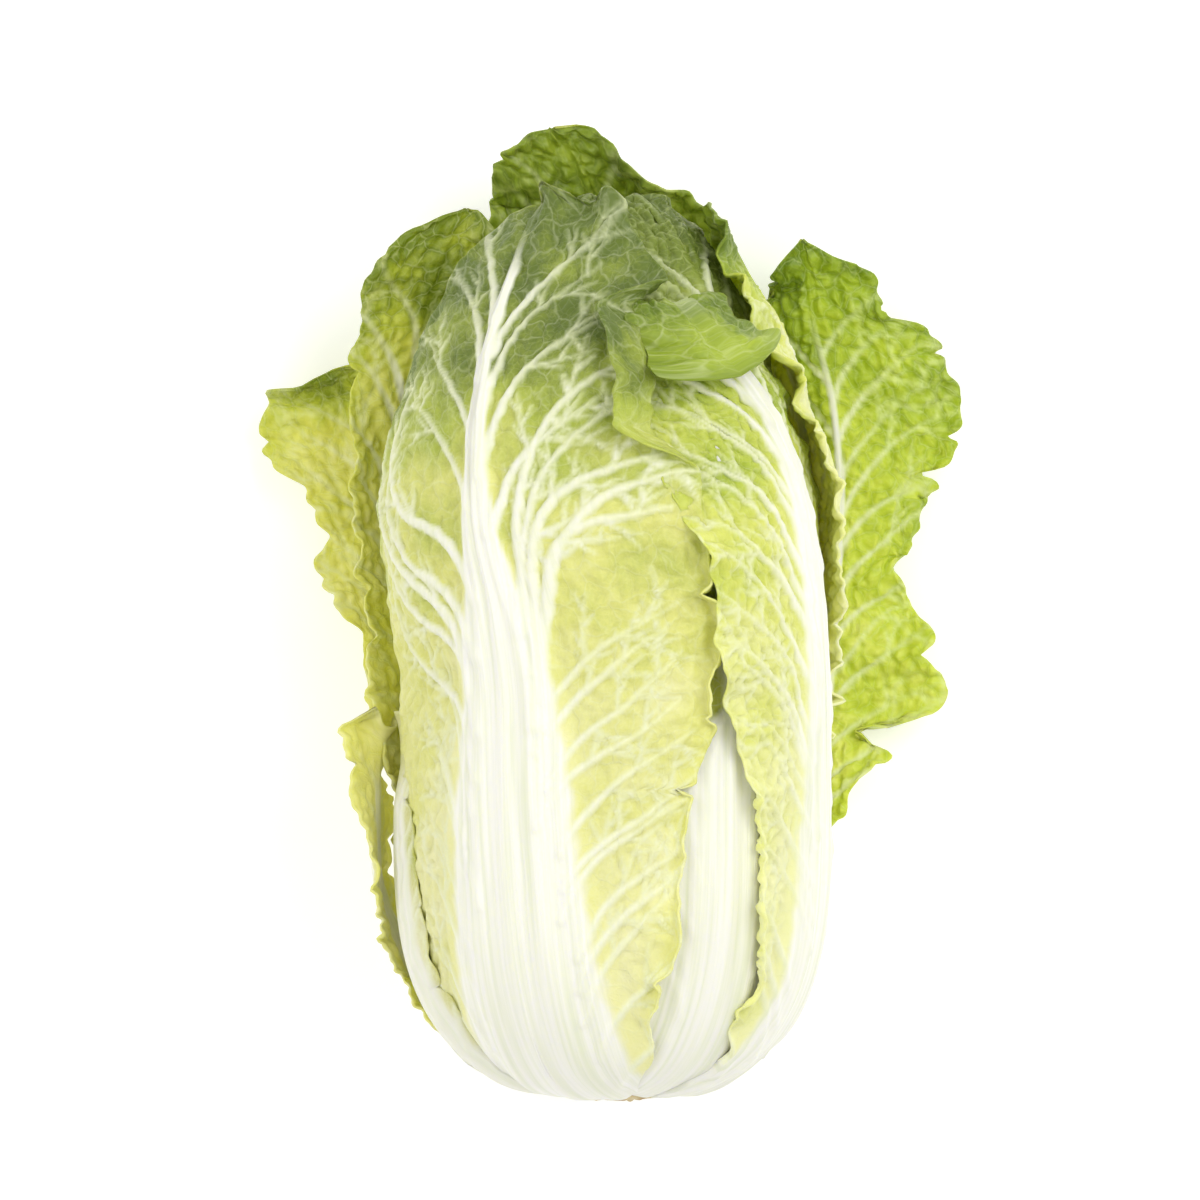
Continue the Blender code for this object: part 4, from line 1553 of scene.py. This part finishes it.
def left_outer_leaf() -> Leaf:
    """The loose leaf on the left, spread flat beside the head."""
    return Leaf(
        name="left_outer_leaf",
        slot="outer_leaf",
        sections=[
            OnHead(0.10, (-162, LOW), (-146, LOW), (-129, LOW)),
            OnHead(0.13, (-163, OUTER), (-146, OUTER), (-128, OUTER)),
            OnHead(0.24, (-163, OUTER), (-141, OUTER), (-122, OUTER)),
            Free(-60, (-24, 6), (-60, 15), (-77, 22)),
            Free(-30, (-24, 5), (-65, 14), (-84, 20)),
            Free(0, (-24, 5), (-69, 15), (-95, 18)),
            Free(28, (-24, 6), (-72, 16), (-102, 16)),
            Free(55, (-26, 8), (-74, 19), (-119, 17)),
            Free(73, (-36, 14), (-78, 23), (-116, 23)),
            Free(84, (-64, 24), (-82, 27), (-104, 29)),
        ],
        ribs=((-160, 16), (-60, 7), (0, 4), (84, 1.4)),
        rib_thickness=4.8,
        finish=LOOSE_PALE,
        tones=((-160, 0.0), (-40, 0.16), (0, 0.2), (40, 0.26), (62, 0.42), (84, 0.95)),
        habit=Habit(
            swell=3.2, swell_gap=40, ruffle=2.8, ruffle_gap=17, ragged=1.7, tears=12,
            blister=1.7, blister_size=5.4, crinkle=4.5,
        ),
        veins=(
            SideVeins(Side.FIRST, -110, 60, 16, (26, 48, 62), 56, 1.0, 0.6, 10),
            SideVeins(Side.LAST, -110, 60, 15, (26, 48, 62), 56, 1.0, 0.6, 10),
        ),
        notches=(
            Notch(Side.LAST, 20, -7, 60),
            Notch(Side.LAST, 22, 8, 6),
            Notch(Side.LAST, -12, 4, 4),
            Notch(Side.LAST, 40, 5, 4),
        ),
        edge_tone=0.05,
        rib_fade=60,
        cell=1.05,
        seed=144,
    )


def left_lower_leaf() -> Leaf:
    """The short torn leaf that stands out low on the left."""
    return Leaf(
        name="left_lower_leaf",
        slot="outer_leaf",
        sections=[
            OnHead(0.10, (-136, LOW), (-125, LOW), (-114, LOW)),
            OnHead(0.13, (-135, OUTER), (-124, OUTER), (-113, OUTER)),
            OnHead(0.22, (-124, OUTER), (-112, OUTER), (-99, OUTER)),
            OnHead(0.31, (-112, OUTER), (-98, OUTER), (-84, OUTER)),
            OnHead(0.38, (-111, OUTER), (-98, OUTER), (-85, OUTER + 1.2 * RIB)),
            OnHead(0.45, (-110, OUTER), (-98, OUTER), (-88, OUTER + 1.9 * RIB)),
        ],
        ribs=((-160, 10), (-100, 3.5), (-40, 1.6)),
        rib_thickness=3.6,
        finish=LOOSE_PALE,
        tones=((-160, 0.0), (-40, 0.1)),
        habit=Habit(ruffle_gap=13, ragged=1.8, tears=6, blister=1.0, crinkle=2.4, tip_round=6),
        veins=both_sides(-140, -50, 11, (20, 44, 56), 26, 0.8, 0.5, 6),
        lobes=((6, 5, 3), (0, -8, 4)),
        edge_tone=0.0,
        cell=1.1,
        seed=233,
    )


def back_leaf() -> Leaf:
    """The broad-ribbed leaf under the head, which carries it on its flattened rib."""
    return Leaf(
        name="back_leaf",
        slot="outer_leaf",
        sections=[
            OnHead(0.10, (162, LOW), (178, LOW), (192, LOW)),
            OnHead(0.13, (160, OUTER), (178, OUTER), (194, OUTER)),
            OnHead(0.20, (164, OUTER), (179, OUTER), (194, OUTER)),
            OnHead(0.45, (165, OUTER), (180, OUTER), (195, OUTER)),
            OnHead(0.65, (166, OUTER), (180, OUTER), (194, OUTER)),
            OnHead(0.78, (170, OUTER), (180, OUTER), (190, OUTER)),
        ],
        ribs=((-165, 15), (-60, 12), (40, 8), (90, 5)),
        rib_thickness=6.0,
        finish=LOOSE_PALE,
        tones=((-160, 0.05), (0, 0.3), (100, 0.6)),
        habit=Habit(swell=0.2, ruffle=0.8, ruffle_gap=16, ragged=1.2, blister=0.6, crinkle=0.8, tip_round=12),
        veins=both_sides(-140, 70, 14, (20, 44, 56), 30, 0.9, 0.5, 6),
        cell=1.4,
        seed=377,
    )


@dataclass
class LeafGroup:
    """A sub-assembly of leaves that are built and declared one after another."""

    title: str
    leaves: list[Leaf]

    def build(self) -> None:
        """Builds and declares each leaf."""
        LOG.info("%s", self.title)
        for leaf in self.leaves:
            declare(leaf.build(), leaf.slot, leaf.name)


# --- Heart and stem ------------------------------------------------------------------------------


@dataclass
class Heart:
    """The tightly packed inner leaves as one closed body, seen only where the leaves round it part.

    Its skin is drawn as leaves side by side, each with a midrib and slanting side veins.
    """

    rings: int = 150
    turns: int = 260
    crinkle: float = 0.2
    leaves: int = 9
    side_veins: float = 17.0
    slant: float = 3.2
    vein_height: float = 0.7
    length: float = 300.0
    girth: float = 60.0

    def build(self) -> None:
        fractions, ys, shares, _, _ = OUTLINE
        rng = np.random.default_rng(11)
        model = bmesh.new()
        bmesh.ops.create_uvsphere(model, u_segments=self.turns, v_segments=self.rings, radius=1)
        mesh = bpy.data.meshes.new("heart_dressed")
        model.to_mesh(mesh)
        model.free()
        points = vertex_array(mesh)
        along = 1 - np.arccos(np.clip(points[:, 2], -1, 1)) / math.pi
        ring = np.hypot(points[:, 0], points[:, 1]) + 1e-9
        turn = np.arctan2(points[:, 0], points[:, 1])
        share = np.interp(along, fractions, shares)
        sector = np.abs((turn * self.leaves / (2 * math.pi) + 0.5) % 1 - 0.5)
        slant = np.abs((along * self.side_veins - self.slant * sector) % 1 - 0.5)
        veins = np.maximum(smooth(0.14, 0.04, slant), smooth(0.09, 0.04, sector)) * smooth(0.15, 0.4, along)
        where = along * self.length, np.sin(turn) * self.girth
        puff = 0.5 + 0.5 * np.clip(swell(*where, 6, rng), -1, 1)
        relief = self.vein_height * (1 - veins) * (0.4 + puff) - self.crinkle * swell(*where, 22, rng)
        inset = HEAD.inset + relief * MM
        x = points[:, 0] / ring * share * (SIZES[0] - inset)
        z = AXIS_Z - points[:, 1] / ring * share * (SIZES[1] - inset)
        y = np.interp(along, fractions, ys) * (1 - HEAD.inset / HEAD.drawn_tip)
        mesh.vertices.foreach_set("co", np.stack([x, y, z], axis=1).reshape(-1))
        fields = {
            "vein": 0.75 * veins,
            "rib": smooth(0.25, 0.05, along),
            "tone": 0.12 + 0.5 * smooth(0.4, 1.0, along),
        }
        place = np.stack([along * self.length, turn * self.girth, np.zeros(len(turn))], axis=1)
        write_fields(mesh, place, fields)
        model = bmesh.new()
        model.from_mesh(mesh)
        bmesh.ops.recalc_face_normals(model, faces=model.faces)
        model.to_mesh(mesh)
        model.free()
        mesh.shade_smooth()
        mesh.materials.append(material_of(INNER))
        declare(new_object("heart_dressed", mesh), "heart_leaves", "heart")


@dataclass
class Stem:
    """The stem's stub, cut across by the knife: a browned disc with a ring of vascular strands."""

    strands: int = 22
    ring_share: float = 0.66
    strand_size: float = 0.0011
    roughness: float = 0.00012
    columns: int = 96

    def tree(self) -> Any:
        """Builds the tree that sets the strands' ends round the cut face.

        Returns:
            The node group, with inputs Strands, Ring Radius, Strand Size, Face Y, Axis Z and Finish.
        """
        names = ("Ring Radius", "Strand Size", "Face Y", "Axis Z")
        inputs = {"Strands": "Int", **dict.fromkeys(names, "Float"), "Finish": "Material"}
        tree, given = new_group("vascular_ring", inputs)
        circle = {"Vertices": given["Strands"], "Radius": given["Ring Radius"]}
        ring = add(tree, "GeometryNodeMeshCircle", circle).outputs[0]
        ball = {"Radius": given["Strand Size"], "Subdivisions": 2}
        strand = add(tree, "GeometryNodeMeshIcoSphere", ball).outputs[0]
        size = add(tree, "FunctionNodeRandomValue", {2: 0.6, 3: 1.5, "Seed": 7}, data_type="FLOAT")
        spread = {"Points": ring, "Instance": strand, "Scale": size.outputs[1]}
        dots = add(tree, "GeometryNodeInstanceOnPoints", spread).outputs[0]
        spot = add(tree, "ShaderNodeCombineXYZ", {"Y": given["Face Y"], "Z": given["Axis Z"]}).outputs[0]
        upright = (math.pi / 2, 0.0, 0.0)
        stance = {"Geometry": dots, "Translation": spot, "Rotation": upright}
        placed = add(tree, "GeometryNodeTransform", stance).outputs[0]
        joined = add(tree, "GeometryNodeJoinGeometry")
        tree.links.new(given["Geometry"], joined.inputs[0])
        tree.links.new(placed, joined.inputs[0])
        end_group(tree, joined.outputs[0], given["Finish"])
        return tree

    def build(self) -> None:
        low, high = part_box("stem")
        radius = (high.x - low.x) / 2
        axis = (high.z + low.z) / 2
        rng = np.random.default_rng(4)
        turns = np.linspace(0, 2 * math.pi, self.columns, endpoint=False)
        bumps = 1 + 0.03 * np.sin(turns * 5 + 1) + 0.02 * np.sin(turns * 9 + 2)
        profile = (
            (high.y + 0.004, 0.99),
            (high.y, 1.0),
            (low.y + 0.0012, 0.95),
            (low.y + 0.0004, 0.92),
            (low.y, 0.88),
            (low.y + 0.0002, 0.7),
            (low.y - 0.0002, 0.5),
            (low.y + 0.0004, 0.3),
            (low.y + 0.0002, 0.12),
        )
        model = bmesh.new()
        rings = []
        for y, share in profile:
            out = radius * share * bumps
            rough = rng.normal(0, self.roughness, self.columns)
            places = zip(out * np.cos(turns), y + rough, axis + out * np.sin(turns))
            rings.append([model.verts.new(place) for place in places])
        for lower, upper in zip(rings, rings[1:]):
            for i in range(self.columns):
                j = (i + 1) % self.columns
                model.faces.new((lower[i], lower[j], upper[j], upper[i]))
        model.faces.new(rings[0])
        model.faces.new(rings[-1])
        bmesh.ops.recalc_face_normals(model, faces=model.faces)
        mesh = bpy.data.meshes.new("stem_dressed")
        model.to_mesh(mesh)
        model.free()
        mesh.shade_smooth()
        stem = new_object("stem_dressed", mesh)
        inputs = {
            "Strands": self.strands,
            "Ring Radius": radius * self.ring_share,
            "Strand Size": self.strand_size,
            "Face Y": low.y + 0.0004,
            "Axis Z": axis,
            "Finish": material_of(CutStemFinish()),
        }
        run_group(stem, "strands", self.tree(), inputs)
        declare(stem, "cut_stem", "stem")


# --- Studio --------------------------------------------------------------------------------------


@dataclass
class Studio:
    """The pale floor, the soft lights and the camera, straight above."""

    centre: Pair = (-0.0044, 0.0006)
    view_width: float = 0.408
    lens: float = 120.0
    sensor: float = 36.0
    middle_height: float = 0.075
    sky: float = 0.66
    floor_size: float = 3.0

    def floor(self) -> None:
        """Lays the floor, which glows a little so that it stays pale in the shade."""
        mesh = bpy.data.meshes.new("floor")
        size = self.floor_size
        corners = [(-size, -size, 0), (size, -size, 0), (size, size, 0), (-size, size, 0)]
        mesh.from_pydata(corners, [], [(0, 1, 2, 3)])
        material, tree, shader = new_material("studio_floor")
        inputs = {
            "Base Color": linear("FCFCFC"),
            "Roughness": 0.9,
            "Emission Color": (1, 1, 1, 1),
            "Emission Strength": 0.25,
        }
        feed(tree, shader, inputs)
        mesh.materials.append(material)
        new_object("floor", mesh)

    def lights(self) -> None:
        """Hangs a broad soft key and a fill, and a pale sky."""
        world = bpy.data.worlds.new("studio")
        world.use_nodes = True
        sky = {"Color": (1.0, 0.99, 0.965, 1), "Strength": self.sky}
        feed(world.node_tree, world.node_tree.nodes["Background"], sky)
        bpy.context.scene.world = world

        for name, place, size, power in (
            ("key", (0.7, 0.4, 1.15), 0.8, 7.6),
            ("fill", (-0.9, 0.1, 1.2), 1.2, 5.5),
        ):
            light = bpy.data.lights.new(name, "AREA")
            light.size = size
            light.energy = power
            lamp = bpy.data.objects.new(name, light)
            lamp.location = place
            aim = Vector((0, 0, 0.05)) - Vector(place)
            lamp.rotation_euler = aim.to_track_quat("-Z", "Y").to_euler()
            bpy.context.scene.collection.objects.link(lamp)

    def camera(self) -> None:
        """Sets the camera looking straight down, with the leaf tips up."""
        data = bpy.data.cameras.new("camera")
        data.lens = self.lens
        data.sensor_width = self.sensor
        height = self.view_width * self.lens / self.sensor
        made = bpy.data.objects.new("camera", data)
        made.location = (*self.centre, self.middle_height + height)
        bpy.context.scene.collection.objects.link(made)
        bpy.context.scene.camera = made
        bpy.context.scene.view_settings.view_transform = "Standard"

    def build(self) -> None:
        """Sets up the whole studio."""
        self.floor()
        self.lights()
        self.camera()


def main() -> None:
    """Builds the head, group by group, and the studio."""
    logging.basicConfig(level=logging.INFO, format="%(message)s")
    Studio().build()
    groups = [
        LeafGroup("inner leaves", [crown_leaf(-1), crown_leaf(1)]),
        LeafGroup(
            "wrapper leaves",
            [front_leaf(), lower_middle_leaf(), right_leaf(), ruffled_right_leaf(), left_leaf()],
        ),
        LeafGroup(
            "outer leaves",
            [
                top_back_leaf(),
                top_left_leaf(),
                right_outer_leaf(),
                left_outer_leaf(),
                left_lower_leaf(),
                back_leaf(),
            ],
        ),
    ]
    Heart().build()
    Stem().build()
    for group in groups:
        group.build()


if __name__ == "__main__":
    main()
